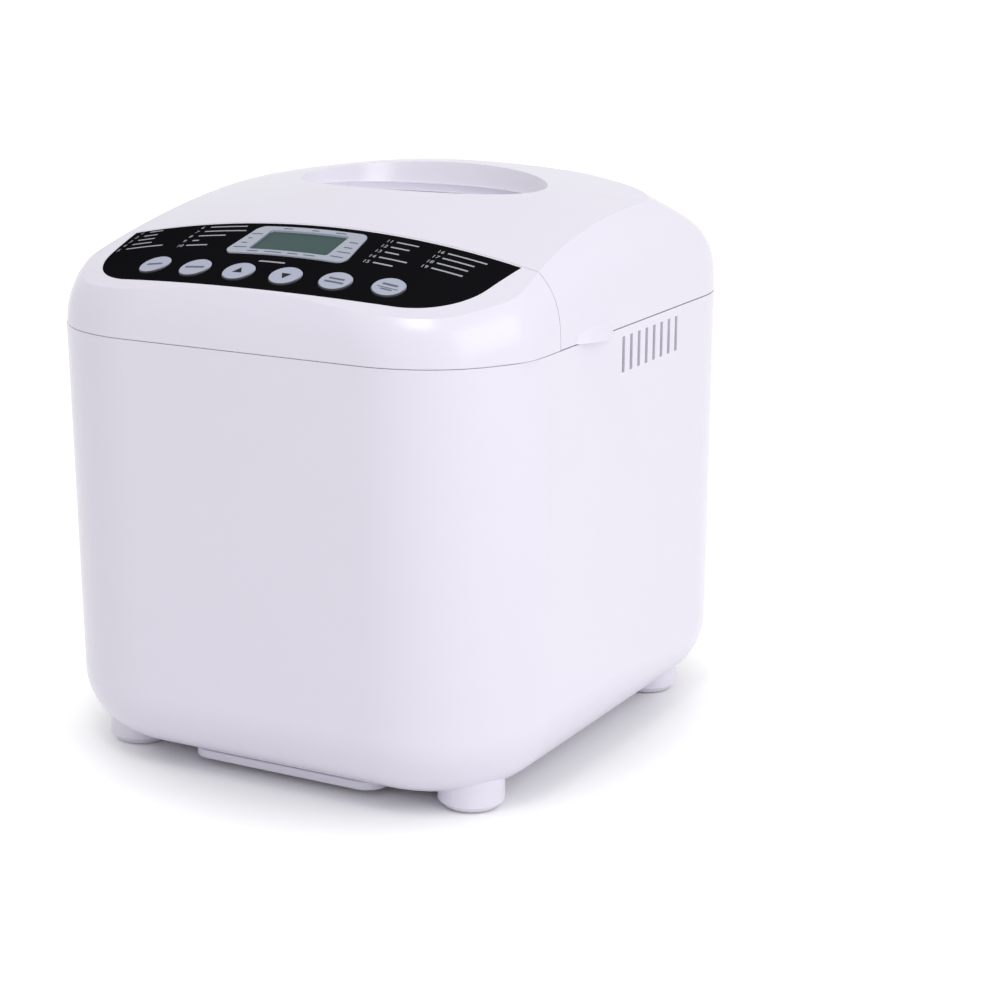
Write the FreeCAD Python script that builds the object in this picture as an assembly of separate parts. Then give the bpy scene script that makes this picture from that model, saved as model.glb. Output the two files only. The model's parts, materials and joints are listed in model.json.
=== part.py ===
import FreeCAD, Part
import math
import os

Vec = FreeCAD.Vector

# Bread machine, millimetres. Z is up, the front faces -Y, the floor is z = 0.

# Body
BODY_HALF_W = 130.5
BODY_HALF_D = 156.0
CORNER_R = 64.0
SEAM_Z = 224.0
FRONT_LEAN = 8.5
BODY_BOTTOM_Z = 8.0
BOTTOM_EDGE_R = 36.0
SHELL_WALL = 2.6
CAVITY_CHAMFER = 0.75
SEAM_GAP = 0.4
SEAM_LAND = 1.2
BODY_GAP = 0.4

# Crowned top: a large sphere, with a crease where the side roll starts and a long fall to the rear
CROWN_R = 545.0
CROWN_Y = 50.0
CROWN_RISE = 65.0
SIDE_ROLL = 16.5
FRONT_ROLL = 9.4
BACK_ROLL = 85.0
SIDE_CREASE_SHARE = 0.81
ROLL_POWER = 3.0
CAP_SECTIONS = 5
CAP_OVER = 7.0
CAP_SHARE_LIMIT = 1.5
OUTLINE_SPANS = 4
OUTLINE_STEPS = 30
ROOM_SHARES = (0.3, 0.5, 0.65, 0.8, 1.0)
ROOM_CORNER_CUT = 10.0

# Line between fascia and lid
LID_FRONT_Y = -78.5
LID_GAP = 0.5

# Control panel
PANEL_THICK = 1.2
PANEL_BACK_HALF_W = 110.0
PANEL_BACK_Y = -79.9
PANEL_SIDE = (106.3, -106.0)
PANEL_CORNER = (97.0, -126.6)
PANEL_FRONT_END = (76.0, -139.0)
PANEL_FRONT_Y = -145.8
PANEL_CLEAR = 0.15
BEZEL_TOP_HALF_W = 31.0
BEZEL_BOTTOM_HALF_W = 34.6
BEZEL_BACK_Y = -85.0
BEZEL_FRONT_Y = -115.0
BEZEL_CORNER_R = 5.0
BEZEL_PROUD = 0.6
LCD_HALF_W = 22.0
LCD_BACK_Y = -89.3
LCD_FRONT_Y = -110.5
LCD_CORNER_R = 1.5
LENS_SUNK = 0.3
LENS_LAP = 1.4
LCD_MODULE_HEIGHT = 12.0
LCD_VIEW_GAP = 1.0

# Buttons, in order from left to right
BUTTON_NAMES = ("menu_button", "weight_button", "up_button", "down_button", "colour_button", "start_button")
BUTTON_PITCH = 26.2
BUTTON_ROW_Y = -133.2
BUTTON_ROW_RISE = 6.4
BUTTON_R = 8.3
BUTTON_CLEAR = 0.45
BUTTON_PROUD = 0.8
BUTTON_EDGE = 0.5
BUTTON_WING = 10.2
BUTTON_WING_WIDTH = 6.0
BUTTON_WING_THICK = 1.2
BUTTON_WING_DROP = 5.6
BUTTON_STEM = 4.0
SWITCH_GAP = 1.3

# Key board below the panel
BOARD_DROP = 18.0
BOARD_THICK = 1.6
BOARD_HALF_W = 80.0
BOARD_FRONT = 30.0
BOARD_BACK = 19.0
BOARD_Y = -112.0
BOARD_POST_R = 3.0
BOARD_POST_INSET = 5.0
SWITCH_SIZE = 6.2
SWITCH_HEIGHT = 4.3

# Lid
LID_TAB_Y = -42.0
LID_TAB_LENGTH = 44.0
LID_TAB_REACH = 8.0
LID_TAB_RISE = 8.0
LID_TAB_STEPS = ((0.0, 1.0, 2.0), (0.35, 0.45, 2.5), (1.0, -0.25, 8.0))
LID_BOSS_R = 4.0
LID_BOSS_X = 97.0
LID_BOSS_FRONT_Y = -60.0
LINER_THICK = 1.5
LINER_FLANGE_RISE = 2.0
LINER_ROOF_DROP = 24.5
LINER_SIDE = 0.5
LINER_FRONT_Y = -58.0
LINER_BACK_INSET = 39.0
LINER_CORNER_R = 14.0
LINER_FLANGE_W = 17.5
LINER_FLANGE_FRONT = 10.0
LINER_FLANGE_BACK = 21.0
WINDOW_Y = 21.0
WINDOW_HALF_W = 59.0
WINDOW_HALF_D = 30.0
WINDOW_LEDGE = 7.0
WINDOW_STEP = 2.4
WINDOW_FLARE = 7.0
WINDOW_WELL_WALL = 2.6
GLASS_THICK = 3.0
GASKET_THICK = 3.0
WELL_FLOOR_THICK = 2.5
WELL_STEP_RISE = 3.5
SEAL_WIDTH = 4.0
SEAL_GAP = 0.4
LID_REAR_RELIEF = 1.4

# Lid hinge
HINGE_INSET = 3.0
HINGE_RISE = 3.5
KNUCKLE_R = 3.0
HINGE_PIN_R = 1.2
HINGE_PIN_CLEAR = 0.05
HINGE_X = 45.0
HINGE_CORE_W = 14.0
HINGE_LEAF_W = 10.0
HINGE_SIDE_GAP = 0.4
HINGE_SLOT_RISE = 3.9
HINGE_WEB = 8.0

# Vent slots in both side walls
VENT_COUNT = 8
VENT_PITCH = 9.1
VENT_FIRST_Y = -8.1
VENT_WIDTH = 3.2
VENT_HEIGHT = 18.0
VENT_TOP_DROP = 5.0

# Deck round the oven's mouth
DECK_DROP = 5.0
DECK_THICK = 3.0
DECK_FRONT_Y = -84.0
LEDGE_WIDTH = 5.0
LEDGE_THICK = 3.0

# Oven chamber and its fittings
OVEN_Y = 38.0
OVEN_SIDE_ROOM = 6.4
OVEN_HALF_D = 88.0
OVEN_CORNER_R = 24.0
OVEN_SHEET = 1.0
OVEN_FLOOR_Z = 60.0
OVEN_FLANGE_W = 6.0
OVEN_CLEAR = 0.8
OVEN_DRIVE_HOLE_R = 16.0
HEATER_R = 3.3
HEATER_Z = 84.0
HEATER_INSET = 9.0
HEATER_BEND = 18.0
HEATER_LEAD_X = 14.0
HEATER_LEAD_LENGTH = 14.0
HEATER_LEAD_BEND = 4.0
BUSHING_R = 6.0
BUSHING_FLANGE_R = 8.0
BUSHING_FLANGE = 2.0
CLIP_WIDTH = 8.0
CLIP_SHEET = 1.2
SENSOR_Z = 130.0
SENSOR_Y = 64.0
SENSOR_R = 2.5
SENSOR_LENGTH = 9.0
SENSOR_BODY_R = 6.0
SENSOR_BODY_LENGTH = 10.0

# Bread pan
PAN_BOTTOM_Z = 78.0
PAN_RIM_DROP = 20.0
PAN_HALF_W = 70.0
PAN_HALF_D = 62.0
PAN_TAPER = 5.0
PAN_CORNER_R = 20.0
PAN_WALL = 1.2
PAN_RIM_W = 4.0
PAN_RIM_THICK = 2.0
PAN_RING_R = 45.0
PAN_RING_WALL = 3.0
PAN_RING_LIFT = 0.4
SOCKET_CLEAR = 0.5
SOCKET_WALL = 4.0
SOCKET_HEIGHT = 9.0
SOCKET_SLOT_W = 16.0
PAN_LUG_R = 7.0
PAN_LUG_DROP = 11.0
PAN_LUG_REACH = 6.0
HANDLE_ROD_R = 2.4
HANDLE_PIN_DEPTH = 4.4
HANDLE_PIN_CLEAR = 0.05
HANDLE_ARM_GAP = 0.8
HANDLE_REACH = 62.0
HANDLE_REST_GAP = 0.4
HANDLE_BEND = 9.0

# Paddle and its shaft
SHAFT_R = 4.0
SHAFT_CLEAR = 0.05
PAN_BUSH_R = 9.0
PAN_BUSH_FLANGE_R = 13.0
PAN_BUSH_FLANGE = 2.0
PAN_BUSH_DROP = 7.0
PADDLE_GAP = 1.0
PADDLE_HUB_R = 9.0
PADDLE_HUB_HEIGHT = 20.0
PADDLE_REACH = 42.0
PADDLE_HEIGHT = 24.0
PADDLE_THICK = 5.0
PADDLE_SIDE = ((0.0, 0.0), (1.0, 0.0), (0.85, 0.8), (0.45, 1.0), (0.0, 0.7))
PADDLE_LEAN = 6.0
WING_HALF_LENGTH = 12.5
WING_WIDTH = 5.0
WING_HEIGHT = 5.0

# Drive under the oven
COUPLING_R = 15.0
COUPLING_THICK = 3.5
COUPLING_PROUD = 0.5
COUPLING_GAP = 1.0
PEG_R = 2.6
PEG_ORBIT = 9.5
PEG_HEIGHT = 7.0
PEG_SIDE_GAP = 0.4
BUSH_R = 7.0
BLOCK_R = 13.0
BLOCK_FLANGE_R = 24.0
BLOCK_FLANGE = 3.0
BLOCK_HEIGHT = 8.0
LARGE_PULLEY_R = 50.0
SMALL_PULLEY_R = 11.0
PULLEY_Z = 28.0
PULLEY_FACE = 12.0
PULLEY_WEB = 4.0
PULLEY_HUB_R = 10.0
PULLEY_RIM_DEPTH = 5.0
BELT_GAP = 0.3
BELT_THICK = 1.6

# Motor and electrics
MOTOR_INSET = 51.0
MOTOR_R = 34.0
MOTOR_HEIGHT = 62.0
MOTOR_CAP_R = 14.0
MOTOR_CAP_HEIGHT = 8.0
MOTOR_SHAFT_R = 3.0
MOTOR_SHAFT_DEPTH = 30.0
MOTOR_FLANGE = 3.0
MOTOR_FLANGE_GROW = 4.0
CAPACITOR_X = -72.0
CAPACITOR_BEHIND = 1.0
CAPACITOR_SIZE = (34.0, 18.0, 30.0)
POWER_BOARD_X = 50.0
POWER_BOARD_W = 50.0
POWER_BOARD_H = 76.0
POWER_BOARD_BEHIND = 7.0
RELAY_SIZE = (20.0, 16.0, 15.0)
TRANSFORMER_SIZE = (30.0, 22.0, 26.0)

# Chassis plate
CHASSIS_Z = 46.0
CHASSIS_SHEET = 2.0
CHASSIS_SIDE_INSET = 27.0
CHASSIS_FRONT_INSET = 15.0
CHASSIS_BACK_INSET = 44.0
CHASSIS_CORNER_R = 34.0
CHASSIS_HOLE_R = 9.0
POST_R = 6.0
POST_SIDE_INSET = 58.0
POST_FRONT_SIDE_INSET = 72.0
POST_BACK_INSET = 68.0
POST_MIDDLE_Y = -16.0
POST_FRONT_INSET = 66.0

# Underside
PLATE_SIDE_INSET = 38.0
PLATE_FRONT_INSET = 47.0
PLATE_BACK_INSET = 38.0
PLATE_CORNER_R = 38.0
PLATE_THICK = 4.5
PLATE_LAP = 5.0
PLATE_VENT_COUNT = 9
PLATE_VENT_PITCH = 9.0
PLATE_VENT_WIDTH = 4.0
PLATE_VENT_LENGTH = 46.0
PLATE_VENT_Y = -58.0
FOOT_SIDE_INSET = 33.0
FOOT_END_INSET = 53.5
FOOT_R = 16.5
FOOT_EDGE = 3.0
FOOT_LIFT = 0.8
FOOT_CLEAR = 1.0
PAD_R = 10.0
PAD_THICK = 3.0

# Bush for the mains lead in the rear wall
GLAND_INSET = 80.5
GLAND_Z = 62.0
GLAND_R = 7.0
GLAND_BORE_R = 4.0
GLAND_FLANGE_R = 10.0
GLAND_FLANGE = 2.0
GLAND_NUT = 5.0
GLAND_PAD = 4.0

# Derived heights and places
BODY_TOP_Z = SEAM_Z - SEAM_GAP
CROWN_TOP_Z = SEAM_Z + CROWN_RISE
CROWN_CENTRE = Vec(0, CROWN_Y, CROWN_TOP_Z - CROWN_R)
LID_BOTTOM_Z = SEAM_Z + BODY_GAP / 2
FASCIA_BACK_Y = LID_FRONT_Y - LID_GAP / 2
LID_BACK_OF_GAP_Y = LID_FRONT_Y + LID_GAP / 2
DECK_TOP_Z = SEAM_Z - DECK_DROP
DECK_BOTTOM_Z = DECK_TOP_Z - DECK_THICK
HINGE_Y = BODY_HALF_D - HINGE_INSET
HINGE_Z = SEAM_Z + HINGE_RISE
OVEN_HALF_W = PAN_HALF_W + PAN_LUG_REACH + HANDLE_ARM_GAP + 2 * HANDLE_ROD_R + OVEN_SIDE_ROOM
LINER_FLANGE_Z = SEAM_Z + LINER_FLANGE_RISE
LINER_ROOF_Z = CROWN_TOP_Z - LINER_ROOF_DROP
LINER_HALF_W = OVEN_HALF_W + LINER_SIDE
LINER_BACK_Y = BODY_HALF_D - LINER_BACK_INSET
LID_BOSS_BACK_Y = LINER_BACK_Y + LID_BOSS_R
LINER_TOP_Z = LINER_ROOF_Z + LINER_THICK
GLASS_TOP_Z = LINER_TOP_Z + GLASS_THICK
WELL_FLOOR_Z = GLASS_TOP_Z + GASKET_THICK
WELL_TOP_Z = WELL_FLOOR_Z + WELL_FLOOR_THICK
CHASSIS_TOP_Z = CHASSIS_Z + CHASSIS_SHEET
MOTOR_Y = MOTOR_INSET - BODY_HALF_D
CHASSIS_HALF_W = BODY_HALF_W - CHASSIS_SIDE_INSET
CHASSIS_FRONT_Y = CHASSIS_FRONT_INSET - BODY_HALF_D
CHASSIS_BACK_Y = BODY_HALF_D - CHASSIS_BACK_INSET
PLATE_HALF_W = BODY_HALF_W - PLATE_SIDE_INSET
PLATE_FRONT_Y = PLATE_FRONT_INSET - BODY_HALF_D
PLATE_BACK_Y = BODY_HALF_D - PLATE_BACK_INSET
PLATE_BOTTOM_Z = BODY_BOTTOM_Z - PLATE_THICK
FOOT_X = BODY_HALF_W - FOOT_SIDE_INSET
FOOT_Y = BODY_HALF_D - FOOT_END_INSET
GLAND_X = GLAND_INSET - BODY_HALF_W
PAN_RIM_Z = SEAM_Z - PAN_RIM_DROP
HANDLE_Z = PAN_RIM_Z - PAN_LUG_DROP
HANDLE_RISE = PAN_LUG_DROP + HANDLE_REST_GAP + HANDLE_ROD_R
COUPLING_TOP_Z = OVEN_FLOOR_Z + COUPLING_PROUD
WING_Z = COUPLING_TOP_Z + COUPLING_GAP
OVEN_TOP_Z = DECK_TOP_Z + OVEN_SHEET
OVEN_FRONT_Y = OVEN_Y - OVEN_HALF_D
BIG = 600.0


def box(low, high):
    """Box between two corners."""
    return Part.makeBox(high[0] - low[0], high[1] - low[1], high[2] - low[2], Vec(*low))


def rod(radius, start, end):
    """Round bar from one point to another."""
    run = Vec(*end) - Vec(*start)
    return Part.makeCylinder(radius, run.Length, Vec(*start), run)


def union(shapes):
    """All shapes as one solid."""
    shapes = list(shapes)
    return shapes[0].multiFuse(shapes[1:]).removeSplitter() if len(shapes) > 1 else shapes[0]


def group(shapes):
    """Separate solids in one node."""
    return Part.makeCompound(list(shapes))


def mirror_x(shape):
    """The same piece on the other side."""
    return shape.mirror(Vec(0, 0, 0), Vec(1, 0, 0))


def round_rect(half_w, front, back, radius, z):
    """Face of a rectangle with round corners at one height."""
    corners = [(half_w, front), (half_w, back), (-half_w, back), (-half_w, front)]
    return round_polygon([Vec(x, y, z) for x, y in corners], radius)


def round_polygon(corners, radius):
    """Face of a polygon whose corners are rounded to one radius."""
    edges = []
    starts = []
    ends = []
    for i, corner in enumerate(corners):
        to_last = (corners[i - 1] - corner).normalize()
        to_next = (corners[(i + 1) % len(corners)] - corner).normalize()
        half = to_last.getAngle(to_next) / 2
        cut = radius / math.tan(half)
        middle = (to_last + to_next).normalize() * (radius / math.sin(half) - radius)
        starts.append(corner + to_last * cut)
        ends.append(corner + to_next * cut)
        edges.append(Part.Arc(starts[i], corner + middle, ends[i]).toShape())
        if i:
            edges.insert(-1, Part.makeLine(ends[i - 1], starts[i]))
    edges.append(Part.makeLine(ends[-1], starts[0]))
    return Part.Face(Part.Wire(edges))


def round_block(half_w, front, back, radius, low, high):
    """Upright block with round corners."""
    return round_rect(half_w, front, back, radius, low).extrude(Vec(0, 0, high - low))


def oval(half_w, half_d, y, low, high):
    """Upright oval block about the machine's middle plane."""
    return oval_wire_face(half_w, half_d, y, low).extrude(Vec(0, 0, high - low))


def oval_wire_face(half_w, half_d, y, z):
    """Oval face at one height."""
    curve = Part.Ellipse(Vec(half_w, y, z), Vec(0, y + half_d, z), Vec(0, y, z))
    return Part.Face(Part.Wire([curve.toShape()]))


def oval_cone(low_size, high_size, y, low, high):
    """Oval block that opens towards the top."""
    wires = [
        oval_wire_face(low_size[0], low_size[1], y, low).OuterWire,
        oval_wire_face(high_size[0], high_size[1], y, high).OuterWire,
    ]
    return Part.makeLoft(wires, True, True)


def crown(drop=0.0):
    """The large sphere whose top is the machine's crowned top."""
    ball = Part.makeSphere(CROWN_R - drop, CROWN_CENTRE, Vec(1, 0, 0))
    ball.rotate(CROWN_CENTRE, Vec(1, 0, 0), 180)
    return ball


def crown_z(x, y, drop=0.0):
    """Height of the crowned top over one place."""
    return CROWN_CENTRE.z + math.sqrt((CROWN_R - drop) ** 2 - x ** 2 - (y - CROWN_Y) ** 2)


def roll(share):
    """How far the wall has drawn in, as a share of the roll, at a share of its height."""
    if share <= 0:
        return 0.0
    return share ** ROLL_POWER if share < 1 else 1 + ROLL_POWER * (share - 1)


def cap_share(y, z):
    """Height above the seam as a share of the crown's height at one place in depth, up to a limit."""
    return min((z - SEAM_Z) / (crown_z(0, y) - SEAM_Z), CAP_SHARE_LIMIT)


def side_x(y, z):
    """Half width of the cap at one place in depth and one height."""
    return BODY_HALF_W - SIDE_ROLL * roll(cap_share(y, z) / SIDE_CREASE_SHARE)


def corner_point(turn, way, z):
    """Point on a front or back corner: turn is 0 on the side wall and 90 degrees on the end wall."""
    end_roll = FRONT_ROLL if way < 0 else BACK_ROLL
    y = way * BODY_HALF_D
    for _ in range(OUTLINE_STEPS):
        share = cap_share(y if way < 0 else max(y, CROWN_Y), z)
        reach = BODY_HALF_D - end_roll * roll(share) - CORNER_R * (1 - math.sin(turn))
        y = (y + way * reach) / 2
    return Vec(side_x(y, z) - CORNER_R * (1 - math.cos(turn)), y, z)


def smooth_edge(points, first, last):
    """Curve through points with set directions at its ends."""
    curve = Part.BSplineCurve()
    first_way = Vec(first).normalize()
    last_way = Vec(last).normalize()
    curve.interpolate(Points=points, InitialTangent=first_way, FinalTangent=last_way)
    return curve.toShape()


def cap_wire(z):
    """Outline of the cap at one height, as four walls and four corners."""
    quarter = [math.pi / 2 * i / OUTLINE_SPANS for i in range(OUTLINE_SPANS + 1)]
    front = [corner_point(turn, -1, z) for turn in reversed(quarter)]
    back = [corner_point(turn, 1, z) for turn in quarter]
    start = front[-1].y
    step = (back[0].y - start) / OUTLINE_SPANS
    walk = [start + step * i for i in range(1, OUTLINE_SPANS)]
    side = [front[-1]] + [Vec(side_x(y, z), y, z) for y in walk] + [back[0]]
    leave_front = Vec(side_x(start + 1, z) - front[-1].x, 1, 0)
    reach_back = Vec(back[0].x - side_x(back[0].y - 1, z), 1, 0)
    across = Vec(1, 0, 0)
    right = [
        smooth_edge(front, across, leave_front),
        smooth_edge(side, leave_front, reach_back),
        smooth_edge(back, reach_back, -across),
    ]
    left = [mirror_x(edge) for edge in reversed(right)]
    front_run = Part.makeLine(Vec(-front[0].x, front[0].y, z), front[0])
    back_run = Part.makeLine(back[-1], Vec(-back[-1].x, back[-1].y, z))
    return Part.Wire([front_run] + right + [back_run] + left)


def cap_solid():
    """Outer form of fascia and lid together: rolled walls under the crowned top."""
    step = (CROWN_RISE + CAP_OVER) / (CAP_SECTIONS - 1)
    heights = [SEAM_Z - step / 2]
    heights += [SEAM_Z + step * i for i in range(CAP_SECTIONS)]
    rolled = Part.makeLoft([cap_wire(z) for z in heights], True, False)
    return rolled.common(crown())


def crown_bar(front, back, drop):
    """Round roof that stays just inside the crown between two places in depth."""
    start = Vec(0, front, crown_z(0, front))
    way = (Vec(0, back, crown_z(0, back)) - start).normalize()
    square = Vec(0, -way.z, way.y)
    return Part.makeCylinder(CROWN_R, 2 * CROWN_R, start - square * (CROWN_R + drop) - way * CROWN_R, way)


def frustum(low, high, y, low_z, high_z):
    """Block with four sloping flat walls between two rectangles given by half sizes."""
    lows = (-low[0], low_z, -y - low[1], -y - high[1], -high[0])
    highs = (low[0], high_z, -y + low[1], -y + high[1], high[0])
    block = Part.makeWedge(*lows, *highs)
    block.rotate(Vec(0, 0, 0), Vec(1, 0, 0), 90)
    return block


def round_frustum(low, high, y, low_z, high_z, radius):
    """Block with four sloping walls and round standing corners."""
    block = frustum(low, high, y, low_z, high_z)
    standing = [edge for edge in block.Edges if edge.BoundBox.ZLength > (high_z - low_z) / 2]
    return block.makeFillet(radius, standing)


def wall_reach(roll_size, share, wall):
    """Distance, measured level, through a wall that has drawn in at a share of its height."""
    slope = roll_size * ROLL_POWER * min(share, 1) ** (ROLL_POWER - 1) / CROWN_RISE
    return wall * math.sqrt(1 + slope ** 2)


def room_wire(front_y, z, wall):
    """Outline of the room inside the cap at one height; its side walls start at a place in depth."""
    front = corner_point(math.pi / 2, -1, z).y
    back = corner_point(math.pi / 2, 1, z).y
    widths = []
    for y in (front_y, back):
        share = cap_share(y, z) / SIDE_CREASE_SHARE
        widths.append(side_x(y, z) - wall_reach(SIDE_ROLL / SIDE_CREASE_SHARE, share, wall))
    front += wall_reach(FRONT_ROLL, cap_share(front, z), wall)
    back -= wall_reach(BACK_ROLL, cap_share(back, z), wall)
    near, far = widths
    corners = [Vec(near, front, z), Vec(far, back, z), Vec(-far, back, z), Vec(-near, front, z)]
    radius = CORNER_R - wall - ROOM_CORNER_CUT * (z - SEAM_Z) / CROWN_RISE
    return round_polygon(corners, radius).OuterWire


def cap_room(front_y, front, back, wall):
    """Room inside fascia or lid between two places in depth, at a distance from the walls."""
    heights = [SEAM_Z - wall] + [SEAM_Z + CROWN_RISE * share for share in ROOM_SHARES]
    room = Part.makeLoft([room_wire(front_y, z, wall) for z in heights], True, True)
    return room.common(half_space(1, front, back))


def half_space(axis, low, high):
    """Very large slab between two places on one axis."""
    lows = [-BIG, -BIG, -BIG]
    highs = [BIG, BIG, BIG]
    lows[axis] = low
    highs[axis] = high
    return box(lows, highs)


def body_prism(half_w, half_d, radius, low, high, lean):
    """Upright body block whose front half leans by an angle about the seam."""
    back = round_block(half_w, -half_d, half_d, radius, low - BODY_TOP_Z, high + BODY_TOP_Z)
    front = back.copy()
    front.rotate(Vec(0, -half_d, BODY_TOP_Z), Vec(1, 0, 0), lean)
    back = back.common(half_space(1, 0, BIG))
    front = front.common(half_space(1, -BIG, 0))
    return union([back, front]).common(half_space(2, low, high))


def lean_angle():
    """Angle by which the front wall leans in towards the floor, in degrees."""
    return math.degrees(math.atan2(FRONT_LEAN, BODY_TOP_Z - BODY_BOTTOM_Z))


def body_solid():
    """Outer form of the body below the seam, with its round bottom edge."""
    block = body_prism(BODY_HALF_W, BODY_HALF_D, CORNER_R, BODY_BOTTOM_Z, BODY_TOP_Z, lean_angle())
    low = [edge for edge in block.Edges if edge.BoundBox.ZMax < BODY_BOTTOM_Z + SEAM_GAP]
    low = [edge for edge in low if edge.BoundBox.DiagonalLength < 2 * BODY_HALF_D]
    return block.makeFillet(BOTTOM_EDGE_R, low)


def body_cavity():
    """Room inside the body, with a sloping edge inside the round bottom edge."""
    wall = SHELL_WALL
    low = BODY_BOTTOM_Z + wall
    half_w = BODY_HALF_W - wall
    half_d = BODY_HALF_D - wall
    room = body_prism(half_w, half_d, CORNER_R - wall, low, BIG / 2, lean_angle())
    edges = [edge for edge in room.Edges if edge.BoundBox.ZMax < low + SEAM_GAP]
    return room.makeChamfer(BOTTOM_EDGE_R * CAVITY_CHAMFER, edges)


def eased(points, cut):
    """The same run of points with every inner corner cut off."""
    points = [Vec(*point) for point in points]
    run = [points[0]]
    for i in range(1, len(points) - 1):
        run.append(points[i] + (points[i - 1] - points[i]).normalize() * cut)
        run.append(points[i] + (points[i + 1] - points[i]).normalize() * cut)
    return run + [points[-1]]


def bent_rod(radius, points):
    """Round rod along straight runs that meet in mitres."""
    path = Part.makePolygon(points)
    ring = Part.makeCircle(radius, points[0], points[1] - points[0])
    return path.makePipeShell([Part.Wire([ring])], True, False, 1)


def body_ring(outer, inner, low, high):
    """Upright ring that follows the body's plan at two insets."""
    blocks = []
    for inset in (outer, inner):
        half_d = BODY_HALF_D - inset
        blocks.append(round_block(BODY_HALF_W - inset, -half_d, half_d, CORNER_R - inset, low, high))
    return blocks[0].cut(blocks[1])


def post_places():
    """Places of the posts that carry the chassis."""
    near = BODY_HALF_W - POST_FRONT_SIDE_INSET
    far = BODY_HALF_W - POST_SIDE_INSET
    back = BODY_HALF_D - POST_BACK_INSET
    right = [(far, back), (far, POST_MIDDLE_Y), (near, POST_FRONT_INSET - BODY_HALF_D)]
    return right + [(-x, y) for x, y in right]


def boss_places():
    """Places of the bosses that carry the lid's liner."""
    return [(side * LID_BOSS_X, y) for side in (-1, 1) for y in (LID_BOSS_FRONT_Y, LID_BOSS_BACK_Y)]


def foot_places():
    """Places of the four feet."""
    return [(x * FOOT_X, y * FOOT_Y) for x in (-1, 1) for y in (-1, 1)]


def hinge_span(side, low, high):
    """Start and end on the hinge axis, measured from one hinge's middle."""
    middle = side * HINGE_X
    return (middle + low, HINGE_Y, HINGE_Z), (middle + high, HINGE_Y, HINGE_Z)


def housing_knuckles():
    """Fixed knuckles on the rear rim, with the webs that carry them."""
    pieces = []
    half = HINGE_CORE_W / 2
    for side in (-1, 1):
        middle = side * HINGE_X
        low = (middle - half, HINGE_Y - KNUCKLE_R, DECK_TOP_Z)
        web = box(low, (middle + half, BODY_HALF_D, HINGE_Z))
        barrel = rod(KNUCKLE_R, *hinge_span(side, -half, half))
        bore = rod(HINGE_PIN_R, *hinge_span(side, -half, half))
        pieces.append(web.fuse(barrel).cut(bore))
    return pieces


def vents():
    """Slots through both side walls under the seam."""
    top = SEAM_Z - VENT_TOP_DROP
    slots = []
    for i in range(VENT_COUNT):
        y = VENT_FIRST_Y + i * VENT_PITCH
        low = (-BIG, y - VENT_WIDTH / 2, top - VENT_HEIGHT)
        slots.append(box(low, (BIG, y + VENT_WIDTH / 2, top)))
    middle = BODY_HALF_W - SHELL_WALL - LEDGE_WIDTH
    return group(slots).cut(half_space(0, -middle, middle))


def outer_housing():
    """Moulded body shell with its ledge, seam land, knuckles, vents and lead hole."""
    outer = body_solid()
    shell = outer.cut(body_cavity())
    lap = PLATE_LAP
    mouth = (PLATE_HALF_W - lap, PLATE_FRONT_Y + lap, PLATE_BACK_Y - lap, PLATE_CORNER_R - lap)
    shell = shell.cut(round_block(*mouth, 0, BODY_BOTTOM_Z + BOTTOM_EDGE_R))
    ledge_z = DECK_BOTTOM_Z - LEDGE_THICK
    ledge = body_ring(SHELL_WALL / 2, SHELL_WALL + LEDGE_WIDTH, ledge_z, DECK_BOTTOM_Z)
    ledge = ledge.common(half_space(1, DECK_FRONT_Y, BIG)).common(outer)
    land = body_ring(SHELL_WALL / 2, SHELL_WALL + SEAM_LAND, BODY_TOP_Z - SEAM_LAND, SEAM_Z)
    land = land.common(half_space(1, -BIG, FASCIA_BACK_Y))
    extras = [ledge, land] + housing_knuckles()
    inner_y = BODY_HALF_D - SHELL_WALL - GLAND_PAD
    extras.append(gland_rod(GLAND_FLANGE_R + GLAND_PAD, inner_y, BODY_HALF_D - 1))
    shell = union([shell] + extras)
    holes = [gland_rod(GLAND_FLANGE_R, BODY_HALF_D - GLAND_FLANGE, BODY_HALF_D + 1)]
    holes.append(gland_rod(GLAND_R, inner_y - 1, BODY_HALF_D))
    return shell.cut(holes + vents().Solids)


def gland_rod(radius, front, back):
    """Round bar on the axis of the lead bush."""
    return rod(radius, (GLAND_X, front, GLAND_Z), (GLAND_X, back, GLAND_Z))


def cord_gland():
    """Bush for the mains lead: flange outside, barrel and nut inside."""
    inner_y = BODY_HALF_D - SHELL_WALL - GLAND_PAD
    flange = gland_rod(GLAND_FLANGE_R, BODY_HALF_D - GLAND_FLANGE, BODY_HALF_D)
    barrel = gland_rod(GLAND_R, inner_y - GLAND_NUT, BODY_HALF_D - GLAND_FLANGE)
    nut = round_nut(GLAND_FLANGE_R, inner_y - GLAND_NUT, inner_y)
    return union([flange, barrel, nut]).cut(gland_rod(GLAND_BORE_R, 0, BODY_HALF_D))


def round_nut(radius, front, back):
    """Six-sided nut on the axis of the lead bush."""
    turns = [math.pi / 3 * i for i in range(6)]
    places = [(GLAND_X + radius * math.cos(t), GLAND_Z + radius * math.sin(t)) for t in turns]
    corners = [Vec(x, front, z) for x, z in places]
    return Part.Face(Part.makePolygon(corners + corners[:1])).extrude(Vec(0, back - front, 0))


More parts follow.
